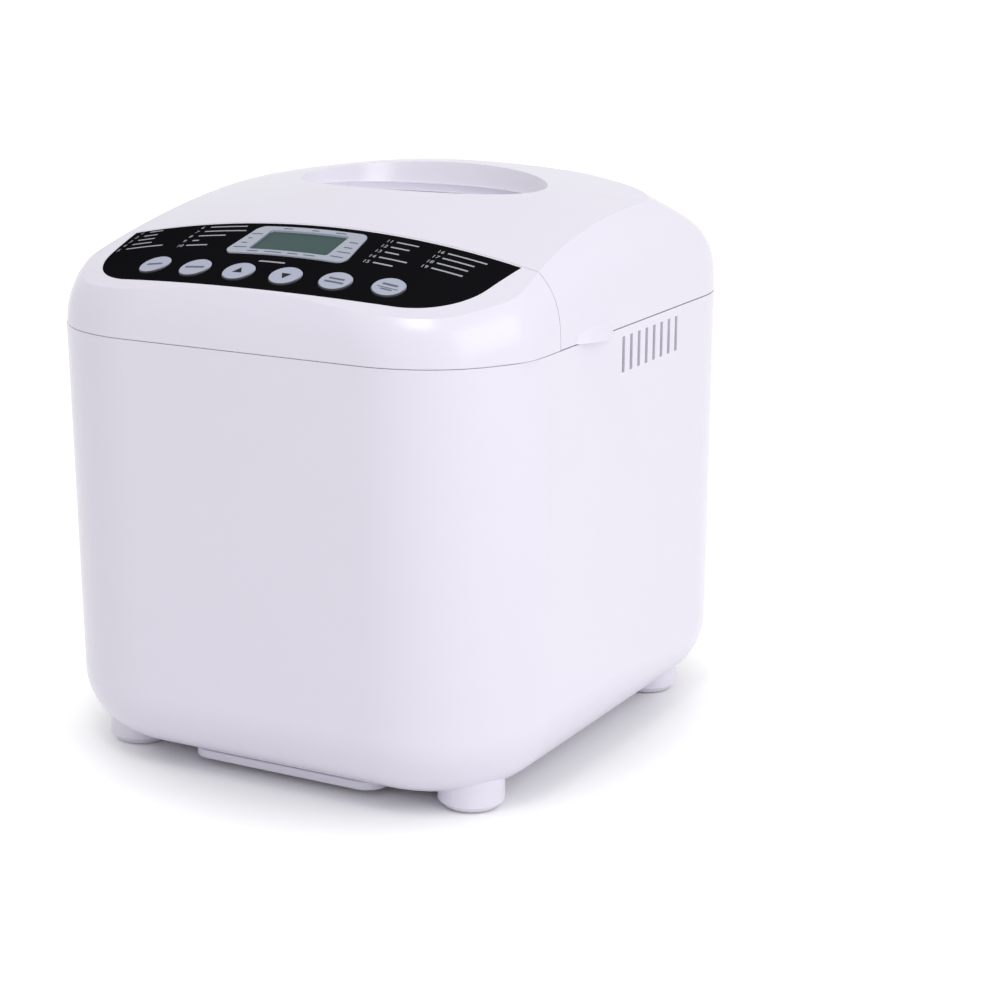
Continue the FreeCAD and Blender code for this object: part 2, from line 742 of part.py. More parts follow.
def panel_face(clear):
    """Plan of the black panel: straight behind, bowed in front, with wide round corners."""
    half_w = PANEL_BACK_HALF_W + clear
    back = Vec(half_w, PANEL_BACK_Y + clear, 0)
    bends = (PANEL_SIDE, PANEL_CORNER, PANEL_FRONT_END)
    side, corner, end = [Vec(x + clear, y - clear, 0) for x, y in bends]
    front = Vec(0, PANEL_FRONT_Y - clear, 0)
    right = [Part.makeLine(back, side), Part.Arc(side, corner, end).toShape()]
    left = [mirror_x(edge) for edge in reversed(right)]
    bow = Part.Arc(end, front, Vec(-end.x, end.y, 0)).toShape()
    rear = Part.makeLine(Vec(-half_w, back.y, 0), back)
    return Part.Face(Part.Wire(right + [bow] + left + [rear]))


def panel_bed(drop=0.0):
    """Round bed that the panel lies on."""
    return crown_bar(PANEL_FRONT_Y, PANEL_BACK_Y, PANEL_THICK + drop)


def column(face):
    """A plan drawn at z = 0 carried up through the whole top."""
    return face.extrude(Vec(0, 0, BIG))


def bezel_face(grow):
    """Plan of the display surround."""
    back = BEZEL_BACK_Y + grow
    front = BEZEL_FRONT_Y - grow
    top = BEZEL_TOP_HALF_W + grow
    low = BEZEL_BOTTOM_HALF_W + grow
    corners = [Vec(top, back, 0), Vec(-top, back, 0), Vec(-low, front, 0), Vec(low, front, 0)]
    return round_polygon(corners, BEZEL_CORNER_R)


def lcd_face(grow):
    """Plan of the display window."""
    return round_rect(LCD_HALF_W + grow, LCD_FRONT_Y - grow, LCD_BACK_Y + grow, LCD_CORNER_R, 0)


def button_place(index):
    """Place of a button on the crown: its seat turned square to the surface."""
    x = (index - (len(BUTTON_NAMES) - 1) / 2) * BUTTON_PITCH
    reach = (len(BUTTON_NAMES) - 1) / 2 * BUTTON_PITCH
    y = BUTTON_ROW_Y + BUTTON_ROW_RISE * (x / reach) ** 2
    seat = Vec(x, y, crown_z(x, y))
    return FreeCAD.Placement(seat, FreeCAD.Rotation(Vec(0, 0, 1), seat - CROWN_CENTRE))


def placed(shape, place):
    """A copy of a shape moved to a place."""
    moved = shape.copy()
    moved.Placement = place.multiply(moved.Placement)
    return moved


def button_holes():
    """Round holes for all buttons through panel and fascia."""
    hole = rod(BUTTON_R + BUTTON_CLEAR, (0, 0, -BUTTON_WING_DROP), (0, 0, BUTTON_WING_DROP))
    return [placed(hole, button_place(i)) for i in range(len(BUTTON_NAMES))]


def board_place():
    """Middle of the key board's top side, with the slope of the panel above it."""
    over = Vec(0, BOARD_Y, crown_z(0, BOARD_Y))
    normal = (over - CROWN_CENTRE).normalize()
    return FreeCAD.Placement(over - normal * BOARD_DROP, FreeCAD.Rotation(Vec(0, 0, 1), normal))


def stem_length(index):
    """Distance from a button's seat on the crown down to its switch, along its axis."""
    place = button_place(index)
    board = board_place()
    normal = board.Rotation.multVec(Vec(0, 0, 1))
    axis = place.Rotation.multVec(Vec(0, 0, 1))
    switch_top = board.Base + normal * SWITCH_HEIGHT
    return (place.Base - switch_top).dot(normal) / axis.dot(normal)


def push_button(index):
    """Round key with two wings that hold it behind the fascia and a stem to its switch."""
    low = -BUTTON_WING_DROP - BUTTON_WING_THICK
    straight = rod(BUTTON_R, (0, 0, low), (0, 0, BUTTON_PROUD - BUTTON_EDGE))
    top = Vec(0, 0, BUTTON_PROUD - BUTTON_EDGE)
    edge = Part.makeCone(BUTTON_R, BUTTON_R - BUTTON_EDGE, BUTTON_EDGE, top)
    half = BUTTON_WING_WIDTH / 2
    wing = box((-BUTTON_WING, -half, low), (BUTTON_WING, half, -BUTTON_WING_DROP))
    foot = SWITCH_GAP - stem_length(index)
    half = BUTTON_STEM / 2
    stem = box((-half, -half, foot), (half, half, low))
    return placed(union([straight, edge, wing, stem]), button_place(index))


def tact_switches():
    """One small switch on the key board below each button."""
    board = board_place()
    half = SWITCH_SIZE / 2
    switches = []
    for i in range(len(BUTTON_NAMES)):
        place = button_place(i)
        axis = place.Rotation.multVec(Vec(0, 0, 1))
        spot = board.inverse().multVec(place.Base - axis * stem_length(i))
        low = (spot.x - half, spot.y - half, 0)
        body = box(low, (spot.x + half, spot.y + half, SWITCH_HEIGHT))
        switches.append(placed(body, board))
    return group(switches)


def board_post_places():
    """Places on the key board where the fascia's posts meet it."""
    x = BOARD_HALF_W - BOARD_POST_INSET
    return [(-x, -BOARD_FRONT + BOARD_POST_INSET), (x, -BOARD_FRONT + BOARD_POST_INSET),
            (-x, BOARD_BACK - BOARD_POST_INSET), (x, BOARD_BACK - BOARD_POST_INSET)]


def control_board():
    """Key board, parallel to the panel's middle."""
    low = (-BOARD_HALF_W, -BOARD_FRONT, -BOARD_THICK)
    return placed(box(low, (BOARD_HALF_W, BOARD_BACK, 0)), board_place())


def lcd_module():
    """Display block that stands on the key board and reaches up to the display window."""
    board = board_place()
    middle = (LCD_FRONT_Y + LCD_BACK_Y) / 2
    spot = board.inverse().multVec(Vec(0, middle, crown_z(0, middle)))
    half_d = (LCD_BACK_Y - LCD_FRONT_Y) / 2
    low = (-LCD_HALF_W, spot.y - half_d, 0)
    block = placed(box(low, (LCD_HALF_W, spot.y + half_d, LCD_MODULE_HEIGHT)), board)
    upper = placed(box((-BIG, -BIG, LCD_MODULE_HEIGHT / 2), (BIG, BIG, BIG)), board)
    face = column(lcd_face(-LENS_LAP - BODY_GAP)).common(panel_bed(LCD_VIEW_GAP)).common(upper)
    return union([block, face])


def control_fascia():
    """Fixed front part of the top, with a bed for the panel and posts for the key board."""
    front_part = half_space(1, -BIG, FASCIA_BACK_Y)
    cap = cap_solid().common(front_part).common(half_space(2, SEAM_Z, BIG))
    room = cap_room(BUTTON_ROW_Y, -BIG, FASCIA_BACK_Y - SHELL_WALL, SHELL_WALL).common(panel_bed(SHELL_WALL))
    posts = []
    board = board_place()
    for x, y in board_post_places():
        posts.append(placed(rod(BOARD_POST_R, (x, y, 0), (x, y, BOARD_DROP)), board))
    posts = group(posts).common(panel_bed(SHELL_WALL / 2))
    half_w = BODY_HALF_W - SHELL_WALL - LEDGE_WIDTH
    skirt = box((-half_w, FASCIA_BACK_Y - SHELL_WALL, DECK_TOP_Z), (half_w, FASCIA_BACK_Y, SEAM_Z + 1))
    fascia = union([cap.cut(room), skirt] + posts.Solids)
    bed = column(panel_face(PANEL_CLEAR)).cut(panel_bed())
    display = column(lcd_face(-LENS_LAP)).common(half_space(2, SEAM_Z, BIG))
    return fascia.cut([bed, display] + button_holes())


def control_panel():
    """Black panel that follows the crown, with openings for display and buttons."""
    layer = column(panel_face(0)).common(crown()).cut(panel_bed())
    return layer.cut([column(bezel_face(PANEL_CLEAR))] + button_holes())


def display_bezel():
    """Display surround, a little proud of the panel."""
    top = crown_bar(BEZEL_FRONT_Y, BEZEL_BACK_Y, -BEZEL_PROUD)
    ring = column(bezel_face(0)).cut(column(lcd_face(PANEL_CLEAR)))
    return ring.common(top).cut(panel_bed())


def display_lens():
    """Clear cover in the display surround."""
    top = crown_bar(BEZEL_FRONT_Y, BEZEL_BACK_Y, LENS_SUNK)
    return column(lcd_face(0)).common(top).cut(panel_bed())


def lift_tab():
    """Flared grip on the lid's lower side edge."""
    wires = []
    half = LID_TAB_LENGTH / 2
    for share, flare, sink in LID_TAB_STEPS:
        z = LID_BOTTOM_Z + LID_TAB_RISE * share
        x = BODY_HALF_W - sink
        ends = [Vec(x, LID_TAB_Y - half, z), Vec(x, LID_TAB_Y + half, z)]
        bow = Part.Arc(ends[0], Vec(BODY_HALF_W + LID_TAB_REACH * flare, LID_TAB_Y, z), ends[1]).toShape()
        wires.append(Part.Wire([bow, Part.makeLine(ends[1], ends[0])]))
    return Part.makeLoft(wires, True, False)


def window_well():
    """Oval well of the lid's window: flared wall, step and floor."""
    ledge = (WINDOW_HALF_W + WINDOW_LEDGE, WINDOW_HALF_D + WINDOW_LEDGE)
    lip = (ledge[0] + WINDOW_FLARE, ledge[1] + WINDOW_FLARE)
    low = (ledge[0] + WINDOW_WELL_WALL, ledge[1] + WINDOW_WELL_WALL)
    high = (lip[0] + WINDOW_WELL_WALL, lip[1] + WINDOW_WELL_WALL)
    outer = oval_cone(low, high, WINDOW_Y, WELL_FLOOR_Z, CROWN_TOP_Z)
    step_z = WELL_TOP_Z + WELL_STEP_RISE
    flare = oval_cone(ledge, lip, WINDOW_Y, step_z, CROWN_TOP_Z)
    step = oval(ledge[0] - WINDOW_STEP, ledge[1] - WINDOW_STEP, WINDOW_Y, WELL_TOP_Z, step_z)
    opening = oval(WINDOW_HALF_W, WINDOW_HALF_D, WINDOW_Y, LINER_ROOF_Z - 1, WELL_TOP_Z)
    return outer, [flare, step, opening]


def lid_room(wall):
    """Room inside the lid at a distance from its walls and its roof."""
    room = cap_room(LID_FRONT_Y, LID_BACK_OF_GAP_Y + wall, BIG, wall)
    room = room.common(crown_bar(LID_FRONT_Y, WINDOW_Y, wall))
    return room.common(crown_bar(WINDOW_Y, BODY_HALF_D, wall))


def lid_shell():
    """Crowned lid with its window well, bosses, lift tabs and hinge leaves."""
    cap = cap_solid()
    lid = cap.common(half_space(1, LID_BACK_OF_GAP_Y, BIG)).common(half_space(2, LID_BOTTOM_Z, BIG))
    core = lid_room(SHELL_WALL / 2)
    well, hollow = window_well()
    extras = [well.common(crown(SHELL_WALL / 2))]
    for x, y in boss_places():
        boss = rod(LID_BOSS_R, (x, y, LINER_FLANGE_Z + LINER_THICK), (x, y, CROWN_TOP_Z))
        extras.append(boss.common(core))
    extras += [lift_tab(), mirror_x(lift_tab())]
    lid = union([lid.cut(lid_room(SHELL_WALL))] + extras)
    cuts = hollow + [box((-BIG, HINGE_Y - 2 * KNUCKLE_R, 0), (BIG, BIG, LID_BOTTOM_Z + LID_REAR_RELIEF))]
    half = HINGE_CORE_W / 2 + HINGE_SIDE_GAP
    for side in (-1, 1):
        middle = side * HINGE_X
        low = (middle - half, HINGE_Y - HINGE_SLOT_RISE, 0)
        cuts.append(box(low, (middle + half, BIG, HINGE_Z + HINGE_SLOT_RISE)))
    lid = union([lid.cut(cuts)] + lid_leaves(cap))
    bores = [rod(HINGE_PIN_R + HINGE_PIN_CLEAR, *hinge_span(side, -BIG / 10, BIG / 10)) for side in (-1, 1)]
    return lid.cut(bores)


def lid_leaves(cap):
    """Moving knuckles on both sides of each fixed one, with webs up into the lid."""
    leaves = []
    near = HINGE_CORE_W / 2 + HINGE_SIDE_GAP
    far = near + HINGE_LEAF_W
    for side in (-1, 1):
        for low, high in ((-far, -near), (near, far)):
            middle = side * HINGE_X
            corner = (middle + low, HINGE_Y - KNUCKLE_R, HINGE_Z)
            web = box(corner, (middle + high, BODY_HALF_D, HINGE_Z + HINGE_WEB)).common(cap)
            leaves.append(web.fuse(rod(KNUCKLE_R, *hinge_span(side, low, high))))
    return leaves


def hinge_pins():
    """Two pins through the knuckles."""
    half = HINGE_CORE_W / 2 + HINGE_SIDE_GAP + HINGE_LEAF_W
    return group(rod(HINGE_PIN_R, *hinge_span(side, -half, half)) for side in (-1, 1))


def lid_liner():
    """Inner tray of the lid: roof with the window opening, walls and flange."""
    plan = (LINER_HALF_W, LINER_FRONT_Y, LINER_BACK_Y, LINER_CORNER_R)
    tray = round_block(*plan, LINER_FLANGE_Z, LINER_TOP_Z)
    inner = [plan[0] - LINER_THICK, plan[1] + LINER_THICK, plan[2] - LINER_THICK, plan[3] - LINER_THICK]
    wide = [plan[0] + LINER_FLANGE_W, plan[1] - LINER_FLANGE_FRONT, plan[2] + LINER_FLANGE_BACK, plan[3]]
    tray = tray.fuse(round_block(*wide, LINER_FLANGE_Z, LINER_FLANGE_Z + LINER_THICK))
    cuts = [round_block(*inner, LINER_FLANGE_Z - 1, LINER_ROOF_Z)]
    cuts.append(oval(WINDOW_HALF_W, WINDOW_HALF_D, WINDOW_Y, LINER_ROOF_Z - 1, LINER_TOP_Z + 1))
    return tray.cut(cuts)


def lid_seal():
    """Soft ring below the liner's flange, over the rim of the oven."""
    low = OVEN_TOP_Z + SEAL_GAP
    ring = round_block(*oven_plan(SEAL_GAP + SEAL_WIDTH), low, LINER_FLANGE_Z)
    return ring.cut(round_block(*oven_plan(SEAL_GAP), low, LINER_FLANGE_Z))


def window_glass():
    """Oval pane on the liner's roof."""
    half_w = WINDOW_HALF_W + WINDOW_LEDGE
    half_d = WINDOW_HALF_D + WINDOW_LEDGE
    return oval(half_w, half_d, WINDOW_Y, LINER_TOP_Z, GLASS_TOP_Z)


def window_gasket():
    """Oval ring between the pane and the floor of the well."""
    half_w = WINDOW_HALF_W + WINDOW_LEDGE
    half_d = WINDOW_HALF_D + WINDOW_LEDGE
    ring = oval(half_w, half_d, WINDOW_Y, GLASS_TOP_Z, WELL_FLOOR_Z)
    return ring.cut(oval(WINDOW_HALF_W, WINDOW_HALF_D, WINDOW_Y, GLASS_TOP_Z, WELL_FLOOR_Z))


def top_deck():
    """Deck round the oven's mouth, on the housing's ledge."""
    inset = SHELL_WALL + BODY_GAP
    half_d = BODY_HALF_D - inset
    deck = round_block(BODY_HALF_W - inset, -half_d, half_d, CORNER_R - inset, DECK_BOTTOM_Z, DECK_TOP_Z)
    deck = deck.common(half_space(1, DECK_FRONT_Y, BIG))
    reach = OVEN_HALF_D + OVEN_CLEAR
    mouth = (OVEN_HALF_W + OVEN_CLEAR, OVEN_Y - reach, OVEN_Y + reach, OVEN_CORNER_R)
    return deck.cut(round_block(*mouth, DECK_BOTTOM_Z, DECK_TOP_Z))


def oven_plan(grow):
    """Plan sizes of the oven at an offset."""
    reach = OVEN_HALF_D + grow
    return OVEN_HALF_W + grow, OVEN_Y - reach, OVEN_Y + reach, OVEN_CORNER_R + grow


def heater_lead(side, front, back, radius):
    """Round bar on one lead of the heater."""
    x = side * HEATER_LEAD_X
    return rod(radius, (x, front, HEATER_Z), (x, back, HEATER_Z))


def oven_chamber():
    """Sheet steel oven that hangs on the deck by its flange."""
    tub = round_block(*oven_plan(0), OVEN_FLOOR_Z, OVEN_TOP_Z)
    tub = tub.fuse(round_block(*oven_plan(OVEN_FLANGE_W), DECK_TOP_Z, OVEN_TOP_Z))
    sheet = OVEN_SHEET
    cuts = [round_block(*oven_plan(-sheet), OVEN_FLOOR_Z + sheet, OVEN_TOP_Z)]
    cuts.append(rod(OVEN_DRIVE_HOLE_R, (0, OVEN_Y, OVEN_FLOOR_Z), (0, OVEN_Y, OVEN_FLOOR_Z + sheet)))
    for side in (-1, 1):
        cuts.append(heater_lead(side, OVEN_FRONT_Y - 1, OVEN_FRONT_Y + 2, BUSHING_R))
    cuts.append(sensor_rod(SENSOR_R, OVEN_HALF_W - 2, OVEN_HALF_W + 1))
    return tub.cut(cuts)


def sensor_rod(radius, near, far):
    """Round bar on the axis of the temperature probe."""
    return rod(radius, (near, SENSOR_Y, SENSOR_Z), (far, SENSOR_Y, SENSOR_Z))


def temperature_sensor():
    """Probe through the oven's wall with its housing outside."""
    probe = sensor_rod(SENSOR_R, OVEN_HALF_W - SENSOR_LENGTH, OVEN_HALF_W)
    return union([probe, sensor_rod(SENSOR_BODY_R, OVEN_HALF_W, OVEN_HALF_W + SENSOR_BODY_LENGTH)])


def heating_element():
    """Tubular heater round the foot of the oven, with both leads through the front wall."""
    x = OVEN_HALF_W - HEATER_INSET
    front = OVEN_FRONT_Y + HEATER_INSET
    back = OVEN_Y + OVEN_HALF_D - HEATER_INSET
    lead = HEATER_LEAD_X
    out = OVEN_FRONT_Y - HEATER_LEAD_LENGTH
    z = HEATER_Z
    corners = eased([(-x, 0, z), (-x, back, z), (x, back, z), (x, front, z), (lead, front, z)], HEATER_BEND)
    half = [corner for corner in corners if corner.x > 0]
    half = [Vec(0, back, z)] + half[:-1]
    half += eased([half[-1], (lead, front, z), (lead, out, z)], HEATER_LEAD_BEND)[1:]
    run = [Vec(-p.x, p.y, p.z) for p in reversed(half)] + half[1:]
    return bent_rod(HEATER_R, run)


def element_bushings():
    """Insulating bushes of the heater's leads in the oven's front wall."""
    bushes = []
    for side in (-1, 1):
        barrel = heater_lead(side, OVEN_FRONT_Y, OVEN_FRONT_Y + BUSHING_FLANGE, BUSHING_R)
        flange = heater_lead(side, OVEN_FRONT_Y - BUSHING_FLANGE, OVEN_FRONT_Y, BUSHING_FLANGE_R)
        bore = heater_lead(side, OVEN_FRONT_Y - BIG, 0, HEATER_R)
        bushes.append(union([barrel, flange]).cut(bore))
    return group(bushes)


def element_clips():
    """Brackets on the oven's side walls that carry the heater."""
    wall = OVEN_HALF_W - OVEN_SHEET
    low = HEATER_Z - HEATER_R - CLIP_SHEET
    near = OVEN_Y - CLIP_WIDTH / 2
    far = OVEN_Y + CLIP_WIDTH / 2
    shelf = box((OVEN_HALF_W - HEATER_INSET - HEATER_R, near, low), (wall, far, low + CLIP_SHEET))
    back = box((wall - CLIP_SHEET, near, low), (wall, far, HEATER_Z + HEATER_R))
    clip = union([shelf, back])
    return group([clip, mirror_x(clip)])


def oven_rod(radius, low, high):
    """Upright round bar on the axis of the drive."""
    return rod(radius, (0, OVEN_Y, low), (0, OVEN_Y, high))


def pan_socket():
    """Slotted ring on the oven's floor that the pan's foot stands in."""
    low = OVEN_FLOOR_Z + OVEN_SHEET
    inner = PAN_RING_R + SOCKET_CLEAR
    top = low + SOCKET_HEIGHT
    half = SOCKET_SLOT_W / 2
    slot = box((-BIG, OVEN_Y - half, low + SOCKET_HEIGHT / 2), (BIG, OVEN_Y + half, top))
    return oven_rod(inner + SOCKET_WALL, low, top).cut([oven_rod(inner, low, top), slot])


def pan_block(inset, low, high):
    """Tapered block of the pan at an inset, between two heights."""
    sizes = []
    for z in (low, high):
        share = (PAN_RIM_Z - z) / (PAN_RIM_Z - PAN_BOTTOM_Z)
        sizes.append((PAN_HALF_W - inset - PAN_TAPER * share, PAN_HALF_D - inset - PAN_TAPER * share))
    return round_frustum(sizes[0], sizes[1], OVEN_Y, low, high, PAN_CORNER_R - inset)


def lug_rod(side, radius, near, far):
    """Round bar on the axis of the pan's handle."""
    return rod(radius, (side * near, OVEN_Y, HANDLE_Z), (side * far, OVEN_Y, HANDLE_Z))


def lug_face_x():
    """Outer face of the pan's lugs."""
    return PAN_HALF_W + PAN_LUG_REACH


def bread_pan():
    """Tapered pan with a flat rim, two lugs for its handle and a hole for its bearing."""
    pan = pan_block(0, PAN_BOTTOM_Z, PAN_RIM_Z)
    rim = PAN_RIM_W
    plan = (PAN_HALF_W + rim, OVEN_Y - PAN_HALF_D - rim, OVEN_Y + PAN_HALF_D + rim, PAN_CORNER_R + rim)
    pieces = [pan, round_block(*plan, PAN_RIM_Z - PAN_RIM_THICK, PAN_RIM_Z)]
    for side in (-1, 1):
        pieces.append(lug_rod(side, PAN_LUG_R, PAN_HALF_W / 2, lug_face_x()))
    cuts = [pan_block(PAN_WALL, PAN_BOTTOM_Z + PAN_WALL, PAN_RIM_Z)]
    cuts.append(oven_rod(PAN_BUSH_R, 0, PAN_RIM_Z))
    for side in (-1, 1):
        near = lug_face_x() - HANDLE_PIN_DEPTH
        cuts.append(lug_rod(side, HANDLE_ROD_R + HANDLE_PIN_CLEAR, near, lug_face_x() + 1))
    return union(pieces).cut(cuts)


def pan_base_ring():
    """Foot ring below the pan."""
    low = OVEN_FLOOR_Z + OVEN_SHEET + PAN_RING_LIFT
    ring = oven_rod(PAN_RING_R, low, PAN_BOTTOM_Z)
    return ring.cut(oven_rod(PAN_RING_R - PAN_RING_WALL, low, PAN_BOTTOM_Z))


def pan_bush():
    """Bearing of the paddle's shaft in the pan's bottom."""
    low = PAN_BOTTOM_Z - PAN_BUSH_DROP
    barrel = oven_rod(PAN_BUSH_R, low, PAN_BOTTOM_Z + PAN_WALL)
    flange = oven_rod(PAN_BUSH_FLANGE_R, PAN_BOTTOM_Z - PAN_BUSH_FLANGE, PAN_BOTTOM_Z)
    return union([barrel, flange]).cut(oven_rod(SHAFT_R + SHAFT_CLEAR, low, PAN_BOTTOM_Z + PAN_WALL))


def pan_handle():
    """Bail handle, folded towards the back of the pan."""
    pin_x = lug_face_x() - HANDLE_PIN_DEPTH + HANDLE_ARM_GAP / 2
    arm_x = lug_face_x() + HANDLE_ARM_GAP + HANDLE_ROD_R
    y = OVEN_Y + HANDLE_REACH
    z = HANDLE_Z + HANDLE_RISE
    arm = [(arm_x, OVEN_Y, HANDLE_Z), (arm_x, y, z), (0, y, z)]
    half = [Vec(pin_x, OVEN_Y, HANDLE_Z)] + eased([arm[0], arm[1], arm[2]], HANDLE_BEND)
    run = half + [Vec(-p.x, p.y, p.z) for p in reversed(half[:-1])]
    return bent_rod(HANDLE_ROD_R, run)


def paddle_bottom_z():
    """Lower end of the paddle's hub."""
    return PAN_BOTTOM_Z + PAN_WALL + PADDLE_GAP


def pan_shaft():
    """Shaft through the pan's bearing, from the drive wing up into the paddle."""
    return oven_rod(SHAFT_R, WING_Z, paddle_bottom_z() + PADDLE_HUB_HEIGHT - PADDLE_GAP)


def shaft_wing():
    """Cross bar at the foot of the pan's shaft that the drive's pegs push."""
    low = (-WING_HALF_LENGTH, OVEN_Y - WING_WIDTH / 2, WING_Z)
    bar = box(low, (WING_HALF_LENGTH, OVEN_Y + WING_WIDTH / 2, WING_Z + WING_HEIGHT))
    hub = oven_rod(SHAFT_R + 2, WING_Z, WING_Z + WING_HEIGHT)
    return union([bar, hub]).cut(oven_rod(SHAFT_R, WING_Z, WING_Z + WING_HEIGHT))


def kneading_paddle():
    """Paddle: closed hub on the shaft and one leaning blade that narrows to its tip."""
    low = paddle_bottom_z()
    hub = oven_rod(PADDLE_HUB_R, low, low + PADDLE_HUB_HEIGHT)
    y = OVEN_Y - PADDLE_THICK / 2
    corners = [Vec(PADDLE_REACH * x, y, low + PADDLE_HEIGHT * z) for x, z in PADDLE_SIDE]
    blade = round_polygon(corners, PADDLE_THICK / 2).extrude(Vec(0, PADDLE_THICK, 0))
    blade.rotate(Vec(0, OVEN_Y, low), Vec(1, 0, 0), PADDLE_LEAN)
    blade = blade.common(half_space(2, low, BIG))
    bore = oven_rod(SHAFT_R, low, low + PADDLE_HUB_HEIGHT - PADDLE_GAP)
    return union([hub, blade]).cut(bore)


def drive_shaft():
    """Shaft of the large pulley, up into the coupling."""
    return oven_rod(SHAFT_R, PULLEY_Z - SHAFT_R / 2, COUPLING_TOP_Z)


def drive_coupling():
    """Disc with two pegs that push the wing of the pan's shaft."""
    disc = oven_rod(COUPLING_R, COUPLING_TOP_Z - COUPLING_THICK, COUPLING_TOP_Z)
    disc = disc.cut(oven_rod(SHAFT_R, 0, COUPLING_TOP_Z))
    off = WING_WIDTH / 2 + PEG_SIDE_GAP + PEG_R
    along = math.sqrt(PEG_ORBIT ** 2 - off ** 2)
    pegs = []
    for side in (-1, 1):
        start = (side * along, OVEN_Y + side * off, COUPLING_TOP_Z)
        pegs.append(rod(PEG_R, start, (start[0], start[1], COUPLING_TOP_Z + PEG_HEIGHT)))
    return union([disc] + pegs)


def bearing_block():
    """Flanged block on the chassis that carries the drive's bush."""
    top = CHASSIS_TOP_Z + BLOCK_HEIGHT
    block = oven_rod(BLOCK_R, CHASSIS_TOP_Z, top)
    flange = oven_rod(BLOCK_FLANGE_R, CHASSIS_TOP_Z, CHASSIS_TOP_Z + BLOCK_FLANGE)
    return union([block, flange]).cut(oven_rod(BUSH_R, 0, top))


def drive_bush():
    """Plain bearing of the drive shaft."""
    top = CHASSIS_TOP_Z + BLOCK_HEIGHT
    return oven_rod(BUSH_R, CHASSIS_Z, top).cut(oven_rod(SHAFT_R + SHAFT_CLEAR, CHASSIS_Z, top))


def large_pulley():
    """Pulley with a hollow upper side round its hub."""
    top = PULLEY_Z + PULLEY_FACE
    hollow = oven_rod(LARGE_PULLEY_R - PULLEY_RIM_DEPTH, PULLEY_Z + PULLEY_WEB, top)
    hollow = hollow.cut(oven_rod(PULLEY_HUB_R, PULLEY_Z, top))
    return oven_rod(LARGE_PULLEY_R, PULLEY_Z, top).cut([hollow, oven_rod(SHAFT_R, PULLEY_Z, top)])


def motor_rod(radius, low, high):
    """Upright round bar on the motor's axis."""
    return rod(radius, (0, MOTOR_Y, low), (0, MOTOR_Y, high))


def motor_shaft():
    """Shaft of the motor, down into the small pulley."""
    return motor_rod(MOTOR_SHAFT_R, PULLEY_Z - MOTOR_SHAFT_R / 2, CHASSIS_TOP_Z + MOTOR_SHAFT_DEPTH)


def small_pulley():
    """Pulley on the motor's shaft."""
    top = PULLEY_Z + PULLEY_FACE
    return motor_rod(SMALL_PULLEY_R, PULLEY_Z, top).cut(motor_rod(MOTOR_SHAFT_R, PULLEY_Z, top))


def motor():
    """Motor can on its mounting flange, with its upper bearing cap."""
    low = CHASSIS_TOP_Z
    can = motor_rod(MOTOR_R, low, low + MOTOR_HEIGHT)
    flange = motor_rod(MOTOR_R + MOTOR_FLANGE_GROW, low, low + MOTOR_FLANGE)
    cap = motor_rod(MOTOR_CAP_R, low + MOTOR_HEIGHT, low + MOTOR_HEIGHT + MOTOR_CAP_HEIGHT)
    bore = motor_rod(MOTOR_SHAFT_R + SHAFT_CLEAR, low, low + MOTOR_SHAFT_DEPTH + SHAFT_R)
    return union([can, flange, cap]).cut(bore)


def belt_loop(grow):
    """Loop round both pulleys at a distance from their faces, as a face."""
    big = LARGE_PULLEY_R + grow
    small = SMALL_PULLEY_R + grow
    span = OVEN_Y - MOTOR_Y
    lean = math.asin((LARGE_PULLEY_R - SMALL_PULLEY_R) / span)
    z = PULLEY_Z + BELT_GAP
    tip = Vec(math.cos(lean), -math.sin(lean), 0)
    flip = Vec(-tip.x, tip.y, 0)
    back = Vec(0, OVEN_Y, z)
    front = Vec(0, MOTOR_Y, z)
    wires = [
        Part.Arc(back + flip * big, back + Vec(0, big, 0), back + tip * big).toShape(),
        Part.makeLine(back + tip * big, front + tip * small),
        Part.Arc(front + tip * small, front - Vec(0, small, 0), front + flip * small).toShape(),
        Part.makeLine(front + flip * small, back + flip * big),
    ]
    return Part.Face(Part.Wire(wires))


def drive_belt():
    """Flat belt round both pulleys."""
    rise = Vec(0, 0, PULLEY_FACE - 2 * BELT_GAP)
    return belt_loop(BELT_GAP + BELT_THICK).extrude(rise).cut(belt_loop(BELT_GAP).extrude(rise))


def motor_capacitor():
    """Run capacitor beside the motor."""
    width, depth, height = CAPACITOR_SIZE
    low = (CAPACITOR_X - width / 2, MOTOR_Y + CAPACITOR_BEHIND - depth / 2, CHASSIS_TOP_Z)
    return box(low, (low[0] + width, low[1] + depth, CHASSIS_TOP_Z + height))


def power_board():
    """Upright power board with a relay and a transformer on its front."""
    x = POWER_BOARD_X
    y = MOTOR_Y + POWER_BOARD_BEHIND
    z = CHASSIS_TOP_Z
    pieces = [box((x, y, z), (x + POWER_BOARD_W, y + BOARD_THICK, z + POWER_BOARD_H))]
    middle = x + POWER_BOARD_W / 2
    low = z + BOARD_FRONT / 4
    for width, depth, height in (TRANSFORMER_SIZE, RELAY_SIZE):
        pieces.append(box((middle - width / 2, y - depth, low), (middle + width / 2, y, low + height)))
        low += height + BOARD_FRONT / 4
    return union(pieces)


def chassis():
    """Steel plate that carries motor and drive, on the posts of the underside cover."""
    plan = (CHASSIS_HALF_W, CHASSIS_FRONT_Y, CHASSIS_BACK_Y, CHASSIS_CORNER_R)
    plate = round_block(*plan, CHASSIS_Z, CHASSIS_TOP_Z)
    holes = [oven_rod(BUSH_R, CHASSIS_Z, CHASSIS_TOP_Z)]
    holes.append(motor_rod(CHASSIS_HOLE_R, CHASSIS_Z, CHASSIS_TOP_Z))
    return plate.cut(holes)


